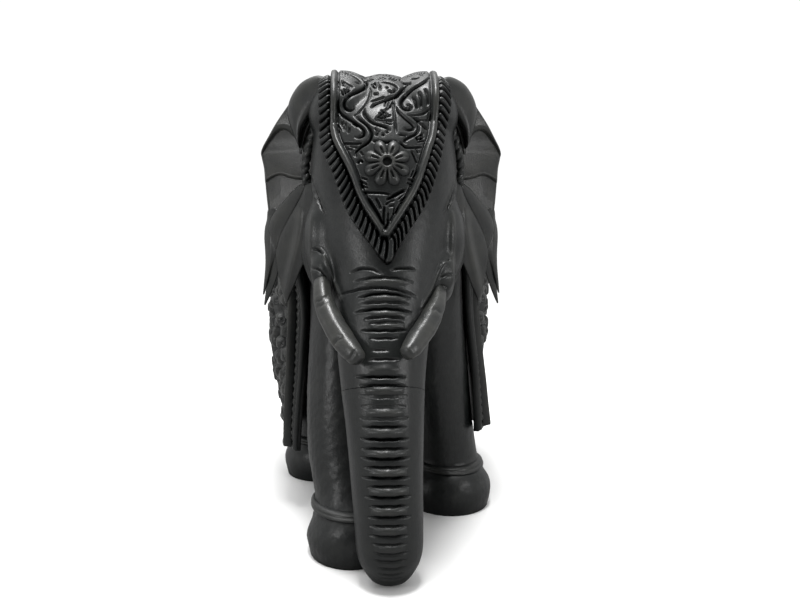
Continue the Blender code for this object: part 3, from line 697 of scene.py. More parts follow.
def carve_rings(points, normals):
    """The trunk's cross cuts, and the swellings between them, on its front."""
    flat = points[:, [0, 2]]
    flat[:, 1] += 0.05 * np.sin(flat[:, 0] * 1.7)
    facing = np.clip((-normals[:, 1] - 0.1) / 0.4, 0, 1) * (points[:, 1] < -45)
    height = np.zeros(len(points))
    for x0, x1, z, proud in SWELLS:
        swell = stroke(flat, bowed(x0, x1, z - 0.3, z), SWELL_SIGMA, taper=0.5)
        height = np.maximum(height, SWELL_RISE * proud * swell)
    for x0, x1, ends, middle, depth in CUTS:
        height -= depth * stroke(flat, bowed(x0, x1, ends, middle), CUT_SIGMA, taper=0.25)
    return height * facing


def surface_relief(obj, relief, scale):
    """Moves the object's surface along its normals, and keeps the relief for the finish's painted
    shade and painted highlight.
    """
    points, normals = read(obj.data), read(obj.data, normals=True)
    height = relief(points, normals)
    write(obj.data, points + normals * height[:, None])
    mark_relief(obj.data, 0.5 + height * scale)


# The eye slits in (x, z), by side.
EYES = {-1: [(-23.5, 120), (-20.5, 112), (-18.5, 107)], 1: [(23, 119), (20.5, 113), (18, 107.5)]}
# Sharp edged folds of skin round the tusks, and ridges beside them: (sigma, depth, points).
FOLDS = [
    (0.34, 0.7, [(-22, 96.4), (-20.5, 96.3), (-18.6, 95)]),
    (0.34, 0.7, [(-22.4, 91), (-20.4, 90.6), (-18.9, 89.4), (-17.8, 87.6)]),
    (0.3, 0.5, [(-21.8, 87), (-20.4, 86.2), (-18.6, 86.3), (-16.8, 86)]),
    (0.34, 0.55, [(16.2, 92.2), (17.4, 93), (19.4, 93.4)]),
    (0.34, 0.55, [(16, 88), (17.4, 88.8), (19.6, 89)]),
    (0.3, 0.4, [(15.6, 85.6), (16.8, 85.7), (18.4, 84.9)]),
]
FOLD_RIDGES = [
    (0.5, 0.5, [(-21.6, 97.4), (-19.6, 96.6), (-18.4, 94.1), (-16.7, 90), (-14.6, 85), (-13.2, 82)]),
    (0.5, 0.5, [(19.4, 93.9), (16.4, 92), (14.3, 88.2), (12.6, 84.9), (10.8, 82.4), (9.6, 80)]),
    (0.9, 0.5, [(20, 108), (20.1, 102), (19.9, 94.3), (19.6, 87), (18, 83.7)]),
    (0.9, 0.5, [(-22, 108), (-22.3, 102), (-22.4, 94), (-22.2, 87)]),
]


def face_relief(points, normals):
    """The folds, the eye slits between their crinkled lids, and the cuts of the trunk's root."""
    flat = points[:, [0, 2]]
    front = np.clip(-normals[:, 1] * 2.5, 0, 1) * (points[:, 1] < -30)
    height = deepest(flat, FOLD_RIDGES) - deepest(flat, FOLDS)
    for side, line in EYES.items():
        height -= 0.8 * stroke(flat, line, 0.42)
        crinkle = 0.5 + 0.5 * np.sin(flat[:, 1] * 3.1 + 0.6 * np.sin(flat[:, 1] * 7))
        for shift, tall in ((1.1, 0.5), (-1.0, 0.45)):
            lid = [(x + shift * side * 0.8, z + shift * 0.5) for x, z in line]
            height += tall * (0.6 + 0.4 * crinkle) * stroke(flat, lid, 0.38)
    return height * front + carve_rings(points, normals) + 0.015 * ripple(points, 2.5, 8)


def body_relief(points, normals):
    """Chisel marks, rougher on the front legs."""
    chisel = 0.06 * ripple(points, 5, 3) + 0.03 * ripple(points, 2.2, 4)
    front_legs = (points[:, 1] < -20) & (points[:, 2] < 70)
    return chisel + 0.08 * ripple(points, 1.3, 5) * front_legs


def trunk_relief(points, normals):
    return carve_rings(points, normals) + 0.015 * ripple(points, 3, 6)


def make_blocks():
    """The three carved blocks, and search trees of the whole animal and of its head."""
    limbs = (TORSO, NECK, *LEGS.values(), FACE + TRUNK[1:4])
    whole = carve("body_carving", limbs, MASSES, BODY_VOXEL)
    whole_tree = tree_of(whole)
    limbs = (TORSO[:4], NECK, FACE + TRUNK[1:5])
    head = carve("head_carving", limbs, MASSES[:-1], HEAD_VOXEL)
    head_tree = tree_of(head)
    trunk = carve("trunk_carving", (TRUNK, TRUNK_TIP), (), TRUNK_VOXEL)
    surface_relief(head, face_relief, scale=0.5)
    surface_relief(trunk, trunk_relief, scale=0.5)
    surface_relief(whole, body_relief, scale=0.8)
    cut(whole, prism(HEAD_NOTCH, (JOINT_GAP, -JOINT_GAP)), "DIFFERENCE")
    cut(whole, prism(UNDERGROUND, (0, 0)), "DIFFERENCE")
    cut(head, prism(HEAD_NOTCH, (0, 0)), "INTERSECT")
    cut(trunk, prism(TRUNK_JOINT, (0, -JOINT_GAP)), "DIFFERENCE")
    finish_piece(whole, "body_block")
    finish_piece(head, "head_block")
    finish_piece(trunk, "trunk")
    return whole_tree, head_tree


# The headcloth and its flower.


def outside_hit(tree, centre, direction, reach=120):
    """Where a line from that far out towards centre first meets the carving."""
    hit = tree.ray_cast(Vector(centre) + Vector(direction) * reach, -Vector(direction))[0]
    return np.array(hit)


def head_ray(up, side):
    up, side = math.radians(up), math.radians(side)
    return np.array((math.sin(side), -math.cos(side) * math.cos(up), math.cos(side) * math.sin(up)))


# Half angle of the headcloth's sheet at each angle above the brow line
CLOTH_HALF = [
    (-42, 9), (-36, 13), (-28, 22), (-20, 30), (-12, 36), (0, 42), (17, 46), (35, 49), (50, 48),
    (64, 42), (80, 37), (97, 37), (118, 37),
]
FIELD, RIDGE, FRINGE = 2.35, 3.15, 2.25  # how far field, border and fringe stand off the head
SUNK = -0.5  # the sheet's height outside them, inside the head
PATTERN_LIFT = 2.0  # how far off the head the pattern's flat coordinates are taken


def pattern(points):
    """The headcloth's flat coordinates: across, and up the brow and over the crown."""
    back = points[:, 1] + 46
    return np.stack([points[:, 0], points[:, 2] + 0.475 * (back + np.sqrt(back**2 + 9))], axis=1)


def fringe_pairs(table, spacing=2.3):
    """Even steps along the border: (point on the border's ridge, end of the fringe)."""
    pairs = catmull_rom([(*a, *b) for a, b in table], 8)
    lengths = np.concatenate([[0], np.cumsum(np.linalg.norm(np.diff(pairs[:, 2:], axis=0), axis=1))])
    marks = np.arange(0, lengths[-1], spacing)
    return np.stack([np.interp(marks, lengths, pairs[:, i]) for i in range(4)], axis=1)


def strand_line(row):
    """A strand of the fringe, bowed, from a pair of points that fringe_pairs gives."""
    start, run = row[:2], row[2:] - row[:2]
    bow = np.array([-run[1], run[0]]) * 0.14
    return [start + run * 0.12, start + run * 0.4 + bow, start + run * 1.02]


def fan_cuts(field):
    """Spread groups of three straight cuts that fill the ground between the scrolls."""
    drawn = np.concatenate([catmull_rom(line, 3) for _, _, line in SCROLLS])
    cuts = []
    for row in range(20):
        for column in range(12):
            x = -19 + 3.6 * column + 1.8 * (row % 2)
            middle = np.array((x, 101 + 3.5 * row))
            clear = np.min(np.linalg.norm(drawn - middle, axis=1)) > 1.5
            beyond_flower = np.linalg.norm(middle - FLOWER) > FLOWER_RADIUS + 1.6
            if not (clear and beyond_flower and inside(middle[None], field)[0]):
                continue
            lean = (0.7 if x > 0 else -0.7) + 0.5 * math.sin(0.4 * middle[1])
            for k in (-1, 0, 1):
                along = np.array((math.sin(lean + 0.16 * k), math.cos(lean + 0.16 * k)))
                foot = middle + np.array((along[1], -along[0])) * 0.85 * k - along * 1.3
                cuts.append((0.2, 0.7, [foot, foot + along * 1.3, foot + along * 2.6]))
    return cuts


def headcloth_height(flat):
    """How far the cloth's surface stands off the head, at each flat point."""
    ends = [[p[2:] for p in fringe_pairs(t, 0.9)] for t in (BORDER_RIGHT, BORDER_LEFT)]
    outline = np.array([(-20.5, 178)] + ends[0] + ends[1][::-1] + [(20.6, 178)])
    ridges = [[a for a, _ in t] for t in (BORDER_RIGHT, BORDER_LEFT)]
    ridges = [[(line[0][0], 178)] + line for line in ridges]
    field = np.array([*catmull_rom(ridges[0], 4), *catmull_rom(ridges[1], 4)[::-1]])
    in_field = inside(flat, field)
    crown = np.clip((flat[:, 1] - 148) / 12, 0, 1)
    height = np.where(in_field, FIELD + 0.5 * crown, FRINGE)
    swell = np.zeros(len(flat))
    for table in (BORDER_RIGHT, BORDER_LEFT):
        for row in fringe_pairs(table):
            swell = np.maximum(swell, stroke(flat, strand_line(row), 0.42, taper=0.2, steps=5))
    height -= np.where(in_field, 0, 1.05 * swell)
    height -= np.where(in_field, 1.35 * deepest(flat, SCROLLS), 0)
    hatches = [(0.3, 0.75, line) for line in HATCHES]
    height -= np.where(in_field, deepest(flat, hatches) * 0.9, 0)
    height -= np.where(in_field, deepest(flat, fan_cuts(field)), 0)
    for line in ridges:
        distance = to_line(flat, catmull_rom(line, 4))[0]
        rim = np.exp(-((distance / 0.85) ** 4))
        trench = np.exp(-(((distance - 1.35) / 0.32) ** 2))
        height = height * (1 - rim) + RIDGE * rim - 0.6 * trench * (1 - rim)
    whole = pad(flat, outline, 0.8)
    return SUNK + (height - SUNK) * whole


def make_headcloth(tree):
    """The headcloth; returns the sheet under it as a grid of points."""
    rows = []
    for up in np.linspace(-42, 118, 33):
        half = np.interp(up, *np.transpose(CLOTH_HALF))
        sides = np.linspace(-half, half, 21)
        rows.append([outside_hit(tree, HEAD_CENTRE, head_ray(up, side)) for side in sides])
    base = refine(np.array(rows), (13, 11))
    normals = grid_normals(base, base - np.array(HEAD_CENTRE))
    shape = base.shape[:2]
    points, normals = base.reshape(-1, 3), normals.reshape(-1, 3)
    height = headcloth_height(pattern(points + normals * PATTERN_LIFT))
    moved = points + normals * height[:, None]
    faces = grid_faces(*shape)
    faces = faces[(height[faces] > SUNK + 0.01).any(axis=1)]
    mesh = mesh_of("headcloth_carving", moved, faces, (height - 1.2) / 2.2)
    finish_piece(new_object("headcloth_carving", mesh, EBONY), "headcloth")
    return base


def rosette_height(radius, angle):
    """The flower's height at a radius and angle: petals with a cut down each, and a drilled eye."""
    petal = np.abs(np.cos(4 * angle))
    rim = 4.9 + 2.1 * petal**0.5
    dome = np.sqrt(np.clip(1 - (radius / rim) ** 2.6, 0, 1))
    cut_down = np.exp(-((radius * np.sin(np.arccos(petal) / 4) / 0.32) ** 2))
    cut_down *= np.clip((radius - 2.3) / 0.6, 0, 1) * np.clip((5.1 - radius) / 0.6, 0, 1)
    eye = np.clip((1.35 - radius) / 0.25, 0, 1)
    rim_lip = np.exp(-(((radius - 1.75) / 0.4) ** 2))
    between = (1 - petal**0.35) * np.clip((radius - 1.9) / 0.8, 0, 1)
    return 1.7 * dome - 1.5 * between - 0.9 * cut_down + 0.35 * rim_lip - 2.6 * eye


def make_rosette(base):
    """The flower, on a smooth patch that is fitted to the cloth's field round its middle."""
    outs = grid_normals(base, base - np.array(HEAD_CENTRE)).reshape(-1, 3)
    base = base.reshape(-1, 3)
    points = base + outs * FIELD
    from_flower = ((pattern(base + outs * PATTERN_LIFT) - np.array(FLOWER)) ** 2).sum(1)
    near = from_flower < (FLOWER_RADIUS + 3) ** 2
    centre = points[np.argmin(from_flower)]
    out = unit(outs[near].mean(0))
    right = unit(np.array([1.0, 0, 0]) - out * out[0])
    up = np.cross(out, right)
    local = points[near] - centre
    depth_fit = np.polynomial.polynomial.polyvander2d(local @ right, local @ up, (3, 3))
    weights = np.linalg.lstsq(depth_fit, local @ out, rcond=None)[0]
    radii = np.concatenate([[0.001], np.linspace(0.15, FLOWER_RADIUS + 0.4, 60)])
    angles = turns(220)
    r, a = np.meshgrid(radii, angles, indexing="ij")
    x, y = r * np.cos(a), r * np.sin(a)
    fit = np.polynomial.polynomial.polyvander2d(x.ravel(), y.ravel(), (3, 3)) @ weights
    height = rosette_height(r.ravel(), a.ravel() + math.pi / 8)
    height = np.where(r.ravel() > FLOWER_RADIUS + 0.2, -0.6, height)
    flat3 = x.ravel()[:, None] * right + y.ravel()[:, None] * up + (fit + height)[:, None] * out
    points3 = (centre + flat3).reshape(len(radii), len(angles), 3)
    faces = grid_faces(len(radii), len(angles), cyclic=True)
    mesh = mesh_of("rosette_carving", points3.reshape(-1, 3), faces, 0.2 + height / 2.2)
    finish_piece(new_object("rosette_carving", mesh, EBONY), "rosette")


# The ears.

# Outlines are (distance from the middle, height); the ears mirror each other.
EAR_MARGIN = [
    (21.5, -33, 147.6), (25.5, -31.5, 146.4), (28.5, -29.6, 143.4), (31, -28, 140.4),
    (34.8, -25.2, 135.6), (37.6, -23, 131.4), (39.4, -21.8, 128.6), (40.2, -21.1, 126.6),
    (40, -21.2, 124.8), (39.3, -21.6, 121.4), (39, -21.8, 117), (38.6, -22, 112),
    (38.2, -22.2, 108), (37.9, -22.4, 104), (36, -23.6, 101),
]
FLAP_EDGE = [
    (41, 124.2), (40.2, 125.3), (39, 127.2), (37.5, 129.3), (35.1, 132), (33, 133.5), (30.8, 133.3),
    (28.8, 131.6), (27, 129.7), (22, 124),
]
PANEL_EDGE = [
    (40, 115.6), (38.9, 116.7), (37.2, 117.9), (35.1, 118.9), (33, 119.1), (30.3, 118.2),
    (27.3, 117.7), (25.3, 117.8), (20, 119.5),
]
# Each leaf is a pair of lines from its top to its tip: the far side and the side near the head.
LOBE = (
    [
        (17.5, 148.4), (20.4, 149.4), (23.4, 148.9), (26.2, 147.5), (28.4, 145.1), (29.9, 142.4),
        (30.6, 139.4), (30.3, 136.4), (29.2, 133), (27.9, 130), (26.9, 127.6),
    ],
    [
        (17, 144), (17.6, 141.6), (19.4, 140.4), (21.7, 138.9), (23.5, 136.7), (25.4, 133.4),
        (26.3, 130.3), (26.8, 127.5),
    ],
)
LOBE_LIP = (
    [(19, 141), (21.9, 139.2), (23.8, 136.9), (25.7, 133.5), (26.8, 130.2), (27, 126)],
    [(18.6, 139.4), (20.9, 137.9), (23, 135.2), (24.5, 132.2), (25.5, 128.7), (26.2, 125.6)],
)
CHEEK_LEAF = (
    [
        (24.8, 116.4), (26.2, 112.5), (26.9, 108), (27.1, 102), (27, 96), (26.6, 92), (25.4, 88.8),
        (24.2, 86), (22.9, 83.7),
    ],
    [(20.5, 116), (20.5, 108), (20.5, 100), (20.5, 92), (21, 87), (22.4, 83.8)],
)
FRONT_LEAF = (
    [
        (24.8, 116.2), (27, 111.4), (29.2, 107.7), (31.9, 103.3), (33.9, 99.5), (35.2, 95.8),
        (35.6, 92.6), (35.1, 88.6), (34.3, 84), (33.5, 80.3), (32.6, 77),
    ],
    [
        (22.5, 115), (22.5, 108), (22.5, 100), (23.5, 94), (25.8, 90.8), (28, 86.2), (30.2, 80.8),
        (32, 77.1),
    ],
)
EAR_FOLD = (
    [
        (25, 117.2), (28.3, 114.9), (30.6, 112.8), (33, 110.2), (35.3, 107.7), (37.2, 104.6),
        (37.9, 101.6), (37.2, 98.4), (35.8, 94.4),
    ],
    [
        (24.6, 115.8), (26.3, 112), (28.3, 108.5), (30.8, 104), (32.8, 100), (34.4, 96.4),
        (35.4, 93.8),
    ],
)
BACK_LEAF = (
    [
        (37.4, 109.6), (38.5, 107.2), (38.8, 104.6), (39.6, 101.6), (39.9, 98), (39.7, 94),
        (39.7, 90), (40, 86), (40.5, 82), (40.9, 78.8),
    ],
    [(33.5, 107), (33.5, 101), (33.8, 95.5), (35.4, 92.6), (37, 89), (38.4, 84.6), (40.3, 79)],
)
BACK_PLEAT = (
    [(35.5, 94), (37, 90.6), (38.4, 86), (39.6, 81), (40.5, 75.4)],
    [(33.8, 91.5), (35, 87), (36.4, 83), (38.2, 78.8), (40, 75.2)],
)
LEAF_RIDGE = [(26.4, 109), (27, 102), (28.8, 94.2), (30.5, 88), (32, 82), (32.6, 78)]
BACK_RIDGE = [(37.6, 106), (38.2, 100), (38.1, 94), (38.8, 88), (39.8, 82)]


def resample(line, count):
    """Evenly spaced points along the smoothed line."""
    line = catmull_rom(line, 12)
    lengths = np.concatenate([[0], np.cumsum(np.linalg.norm(np.diff(line, axis=0), axis=1))])
    marks = np.linspace(0, lengths[-1], count)
    return np.stack([np.interp(marks, lengths, line[:, i]) for i in range(line.shape[1])], axis=1)


def above(flat, line):
    """Each point's distance from the line, negative below it."""
    line = catmull_rom(line, 6)
    order = np.argsort(line[:, 0])
    level = np.interp(flat[:, 0], line[order, 0], line[order, 1])
    return to_line(flat, line)[0] * np.sign(flat[:, 1] - level)


def lapped(edge, thick, round_, far):
    """A layer's height at a distance above its lower edge: a rounded edge, thinning away from it."""
    rim = np.sqrt(1 - (1 - np.clip(edge / round_, 0, 1)) ** 2)
    return thick * rim * (far + (1 - far) * np.exp(-np.clip(edge, 0, None) / 5))


def ear_height(flat):
    """How far the ear's front stands before its plate, in layers that overlap downwards."""
    flap, panel = above(flat, FLAP_EDGE), above(flat, PANEL_EDGE)
    return np.where(
        flap > 0,
        0.4 + lapped(flap, 3.0, 1.9, 0.5),
        np.where(panel > 0, 0.1 + lapped(panel, 2.0, 1.0, 0.3), 0.1 + 0.1 * np.clip(-panel, 0, 6)),
    )


def ear_plane(x):
    """How far back the ear is at x from the middle."""
    return -33 + 0.714 * (x - 23)


def leaf_shell(side, outlines, forward, front, back, ridge=None, rows=130, columns=48):
    """A puffed leaf between two outlines, that far before the ear's plane."""
    outer, inner = (resample(line, rows) for line in outlines)
    s = np.linspace(0, 1, columns)[None, :, None]
    flat = inner[:, None] * (1 - s) + outer[:, None] * s
    x, z = flat[..., 0], flat[..., 1]
    t = np.linspace(0, 1, rows)[:, None]
    ends = np.sqrt(1 - (1 - np.clip(np.minimum(t, 1 - t) / 0.07, 0, 1)) ** 2)
    puff = (1 - np.abs(2 * s[..., 0] - 1) ** 2.6) ** (1 / 2.6) * ends
    crest = np.zeros_like(x)
    if ridge is not None:
        crest = stroke(flat.reshape(-1, 2), ridge, 1.5, taper=0.1).reshape(x.shape) * puff
    near = np.stack([side * x, ear_plane(x) - forward - front * puff - 0.9 * crest, z], axis=-1)
    far = np.stack([side * x, ear_plane(x) - forward + back * puff, z], axis=-1)
    return closed_shell("leaf", near, far, 0.62 + 0.12 * puff + 0.2 * crest)


def make_ear(side, word, tree):
    """An ear: a plate from its root on the head to its margin, and the leaves before it."""
    margin = resample(EAR_MARGIN, 330)
    roots = []
    for (mx, my, mz), z in zip(margin, np.linspace(146, 112, len(margin))):
        edge = Vector((side * mx, my, mz))
        aim = (Vector((side * 10, -34, z)) - edge).normalized()
        roots.append(np.array(tree.ray_cast(edge, aim)[0] + aim * 1.0))
    roots = np.array(roots)
    kernel = np.ones(25) / 25
    for axis in range(3):
        roots[:, axis] = np.convolve(np.pad(roots[:, axis], 12, mode="edge"), kernel, mode="valid")
    out = np.linspace(0, 1, 90)[None, :, None]
    plate = roots[:, None] * (1 - out) + (margin * (side, 1, 1))[:, None] * out
    flat = np.stack([np.abs(plate[..., 0]), plate[..., 2]], axis=-1).reshape(-1, 2)
    height = ear_height(flat).reshape(plate.shape[:2])
    lip = np.sqrt(1 - (1 - np.clip((1 - out[..., 0]) / 0.05, 0, 1)) ** 2)
    front = plate + np.array([0, -1.0, 0]) * (height * (0.35 + 0.65 * lip))[..., None]
    root = 2.4 * np.exp(-((out / 0.35) ** 2))  # thick enough there to hold the dowel
    back = plate + np.array([0, 1.4, 0]) * (0.2 + 0.8 * lip[..., None]) + np.array([0, 1, 0]) * root
    pieces = [
        # The plate's relief is kept high, so the finish paints it lighter: a painted highlight.
        closed_shell(f"{word}_ear_carving", front, back, 0.92 + height / 30),
        leaf_shell(side, LOBE, 1.4, 4.6, 3.2),
        leaf_shell(side, LOBE_LIP, 0.4, 1.0, 2.0, rows=80, columns=20),
        leaf_shell(side, CHEEK_LEAF, 2.8, 1.0, 1.4),
        leaf_shell(side, FRONT_LEAF, 2.2, 1.1, 1.2, ridge=LEAF_RIDGE),
        leaf_shell(side, EAR_FOLD, 1.0, 1.7, 1.2),
        leaf_shell(side, BACK_LEAF, -0.4, 1.0, 0.9, ridge=BACK_RIDGE),
        leaf_shell(side, BACK_PLEAT, -0.2, 0.9, 0.9),
    ]
    finish_piece(join(pieces), f"{word}_ear")


def join(objects):
    """Adds the later objects' meshes to the first one's."""
    bm = bmesh.new()
    for obj in objects:
        bm.from_mesh(obj.data)
    bm.to_mesh(objects[0].data)
    bm.free()
    for obj in objects[1:]:
        bpy.data.objects.remove(obj)
    return objects[0]


# Tusks, cords, anklets and tail: round pieces along a line.


def round_piece(name, stations, steps, sides, relief):
    """A round piece with domed ends, its radius changed by relief(share along, angle, points)."""
    path = catmull_rom(stations, steps)
    centres, radii = path[:, :3], path[:, 3]
    along = unit(np.gradient(centres, axis=0))
    angles = np.radians(np.arange(15, 90, 15))
    tips = []
    for end, sign in ((0, -1), (-1, 1)):
        tip = centres[end] + sign * along[end] * radii[end] * np.sin(angles)[:, None]
        tips.append((tip, radii[end] * np.cos(angles)))
    centres = np.concatenate([tips[0][0][::-1], centres, tips[1][0]])
    radii = np.concatenate([tips[0][1][::-1], radii, tips[1][1]])
    along = unit(np.gradient(centres, axis=0))
    side = np.zeros_like(along)
    side[0] = unit(np.array([1.0, 0, 0]) - along[0] * along[0][0])
    for i in range(1, len(along)):
        side[i] = unit(side[i - 1] - along[i] * (side[i - 1] @ along[i]))
    front = np.cross(along, side)
    a = turns(sides)
    round_ = side[:, None] * np.cos(a)[None, :, None] + front[:, None] * np.sin(a)[None, :, None]
    share = np.linspace(0, 1, len(centres))[:, None] * np.ones((1, sides))
    grid = centres[:, None] + round_ * radii[:, None, None]
    change = relief(share, np.broadcast_to(a, share.shape), grid)
    grid = centres[:, None] + round_ * (radii[:, None] + change)[..., None]
    faces = grid_faces(*grid.shape[:2], cyclic=True)
    points = np.concatenate([grid.reshape(-1, 3), centres[:1], centres[-1:]])
    count, last = len(points) - 2, (len(centres) - 1) * sides
    caps = [(count, j, (j + 1) % sides) for j in range(sides)]
    caps += [(count + 1, last + (j + 1) % sides, last + j) for j in range(sides)]
    mesh = bpy.data.meshes.new(name)
    mesh.from_pydata((points * MM).tolist(), [], faces.tolist() + caps)
    mark_relief(mesh, np.concatenate([0.6 + change.ravel() * 0.8, [0.5, 0.5]]))
    turn_outwards(mesh)
    return new_object(name, mesh, EBONY)


TUSK_CUTS = [
    (0.3, 0.5, [(-20.6, 82), (-19, 82.3), (-17.4, 83.4)]),
    (0.3, 0.45, [(-20.2, 80.6), (-18.9, 81.2), (-17.2, 82.2)]),
    (0.35, 0.6, [(-15.2, 71), (-14.4, 72.6), (-12.8, 73)]),
    (0.3, 0.5, [(12.6, 79.4), (13.8, 79.9), (15.2, 78.6)]),
    (0.35, 0.5, [(-12, 67.6), (-10.6, 68.4), (-9.6, 70)]),
]


def make_tusks():
    """The tusks, knife cut and a little squared."""
    def knifed(share, angle, points):
        flat = points[..., [0, 2]].reshape(-1, 2)
        facets = 0.07 * ripple(points.reshape(-1, 3), 3.2, 11)
        stout = 0.5 * np.clip(3 * share - 0.4, 0, 1) + 0.10 * np.cos(4 * angle)
        return (facets - deepest(flat, TUSK_CUTS)).reshape(share.shape) + stout

    for _, word in SIDES:
        finish_piece(round_piece(f"{word}_tusk_carving", TUSKS[word], 12, 56, knifed), f"{word}_tusk")


CORD = [
    (20, 137), (21.1, 134.4), (22.2, 131.5), (23.3, 128.7), (24.2, 125.4), (24.8, 122.2),
    (25, 119.6), (24.6, 117),
]


def make_cords():
    """The twisted cords beside the ears."""
    def twisted(share, angle, points):
        return 0.5 * np.abs(np.cos(angle - share * 26)) - 0.3

    for side, word in SIDES:
        stations = [(side * x, ear_plane(x) - 2.4, z, 1.3) for x, z in CORD]
        cord = round_piece(f"{word}_halter_cord_carving", stations, 14, 24, twisted)
        finish_piece(cord, f"{word}_halter_cord")


ANKLE_Z, ANKLET_HALF, ANKLET_SIDES = 15.5, 1.3, 120


def make_anklets(tree):
    """Grooved rings that follow the ankles' real sections."""
    for leg, stations in LEGS.items():
        path = catmull_rom(stations, 12)
        ankle = path[np.argmin(np.abs(path[:, 2] - ANKLE_Z))]
        outer, inner, relief = [], [], []
        for height in np.linspace(-ANKLET_HALF, ANKLET_HALF, 17):
            middle = np.array((ankle[0], ankle[1], ANKLE_Z + height))
            arch = math.sqrt(max(0.0, 1 - (height / ANKLET_HALF) ** 2))
            groove = 0.35 * math.exp(-((height / 0.3) ** 2))
            rows = []
            for a in turns(ANKLET_SIDES):
                direction = np.array((math.cos(a), math.sin(a), 0))
                hit = outside_hit(tree, middle, direction, 19)
                rows.append((hit - direction * 0.3, hit + direction * max(1.45 * arch - groove, 0.1)))
            inner.append([r[0] for r in rows])
            outer.append([r[1] for r in rows])
            relief.append([0.4 + 0.3 * arch] * ANKLET_SIDES)
        rings = (np.array(rows) for rows in (outer, inner, relief))
        finish_piece(closed_shell(f"{leg}_anklet_carving", *rings, cyclic=True), f"{leg}_anklet")


def make_tail():
    """The tail, with rings down to its brush of hair."""
    def hairs(share, angle, points):
        z = points[..., 2]
        brush = np.clip((76 - z) / 6, 0, 1)
        rings = 0.12 * np.cos(z * 2.2) * np.clip((z - 76) / 6, 0, 1) * np.clip((112 - z) / 4, 0, 1)
        return brush * (0.35 * np.abs(np.cos(4 * angle + z * 0.25)) - 0.2) + rings

    finish_piece(round_piece("tail_carving", TAIL, 20, 48, hairs), "tail")


# The back cloth and its side panels.

CLOTH_FRONT, CLOTH_REAR, CLOTH_THICK = -19, 57, 2.4
CLOTH_ROWS, CLOTH_GAP = 17, 0.9
CLOTH_HEM_Z = {-1: 23, 1: 29}  # by side
BARREL_Z = 94
LATTICE = 0.42  # radians of the back cloth's lattice for each unit along it
# The fall's half width as a share of the barrel's, at each share of the way down to the hem.
CLOTH_FRONT_FALL = [(0, 1), (0.3, 0.97), (0.65, 1.04), (0.85, 1.1), (1, 1.13)]
CLOTH_SIDE_FALL = [(0, 1), (0.3, 1.03), (0.5, 1.03), (0.7, 0.99), (0.87, 0.93), (1, 0.88)]
CLOTH_SIDE_Y = 3


def widest_at(tree, y, z, side):
    """How far out the body reaches at that height, near y."""
    widest = 0.0
    for near in (-2.4, -1.2, 0, 1.2, 2.4):
        hit = tree.ray_cast(Vector((side * 120, y + near, z)), Vector((-side, 0, 0)))[0]
        if hit is not None:
            widest = max(widest, side * hit.x)
    return widest


def half_section(tree, y, side):
    """One side of the cloth's inner line at y, from its hem up to the spine."""
    over = []
    for angle in np.radians(np.linspace(8, 90, 11)):
        direction = np.array((side * math.cos(angle), 0, math.sin(angle)))
        over.append(outside_hit(tree, (0, y, BARREL_Z), direction) + direction * CLOTH_GAP)
    edge = over[0]
    back = min(1, (y - CLOTH_FRONT) / (CLOTH_SIDE_Y - CLOTH_FRONT))
    fall = []
    for share in np.arange(8, 0, -1) / 8:
        z = edge[2] + (CLOTH_HEM_Z[side] - edge[2]) * share
        at_front = np.interp(share, *np.transpose(CLOTH_FRONT_FALL))
        at_side = np.interp(share, *np.transpose(CLOTH_SIDE_FALL))
        hanging = side * edge[0] * (at_front * (1 - back) + at_side * back)
        fall.append(np.array((side * max(hanging, widest_at(tree, y, z, side) + CLOTH_GAP), y, z)))
    return fall + over


def cloth_section(tree, y):
    """The cloth's inner points at y, from the right hem over the back to the left hem."""
    right, left = (half_section(tree, y, side) for side in (-1, 1))
    return right + left[-2::-1]


def make_back_cloth(tree):
    """The long cloth over the back; returns its sections from hem to hem."""
    sections = [cloth_section(tree, y) for y in np.linspace(CLOTH_FRONT, CLOTH_REAR, CLOTH_ROWS)]
    inner = refine(np.array(sections), (13, 9))
    normals = grid_normals(inner, inner - np.array((0, 20, 60)))
    y = inner[..., 1]
    lengths = np.linalg.norm(np.diff(inner, axis=1), axis=2)
    across = np.concatenate([np.zeros((len(inner), 1)), np.cumsum(lengths, axis=1)], axis=1)
    from_hem = np.minimum(across, across[:, -1:] - across)
    from_end = np.minimum(y - CLOTH_FRONT, CLOTH_REAR - y)
    edge = np.minimum(from_end, from_hem)
    height = np.full(edge.shape, CLOTH_THICK - 0.9)
    # The border: two ridges with a groove between them, and beads on the inner one.
    for at, wide in ((0.8, 0.75), (3.5, 0.95)):
        height += 1.3 * np.exp(-(((edge - at) / wide) ** 4))
    height -= 0.6 * np.exp(-(((edge - 2.05) / 0.35) ** 2))
    along = np.where(from_hem < from_end, y, across)
    height += np.where((edge > 2.6) & (edge < 4.4), 0.3 * np.cos(along * 2.2), 0)
    # The field: a lattice of fine ridges, counted from the spine.
    from_spine = np.abs(across - across[:, -1:] / 2)
    squares = np.cos(y * LATTICE) * np.cos(from_spine * LATTICE)
    lattice = np.exp(-((squares / 0.12) ** 2))
    height += np.where(edge > 6.5, 0.35 * lattice, 0)
    outer = inner + normals * height[..., None]
    cloth = closed_shell("back_cloth_carving", outer, inner, 0.47 + (height - 1.9) / 3)
    finish_piece(cloth, "back_cloth")
    return np.array(sections)


def leaf_outline(x, z, angle, length, width):
    """A leaf that grows from (x, z) at the angle, widest nearer its stalk."""
    t = np.linspace(0, 1, 14)
    half = width * np.sin(np.pi * t**0.75)
    upper = np.stack([t * length, half], axis=1)
    out = np.concatenate([upper, upper[::-1] * (1, -1)])
    c, s = math.cos(angle), math.sin(angle)
    return out @ np.array([[c, s], [-s, c]]) + (x, z)


VINES = (36, 53, 70, 87, 104)  # the heights that the panel's vines wave about
VINE_SWING, VINE_WAVE = 4.5, 0.242


def vine_at(level, y):
    """A vine's height at y; every other vine swings the other way."""
    return VINES[level] + VINE_SWING * np.sin(VINE_WAVE * y + math.pi * (level % 2))


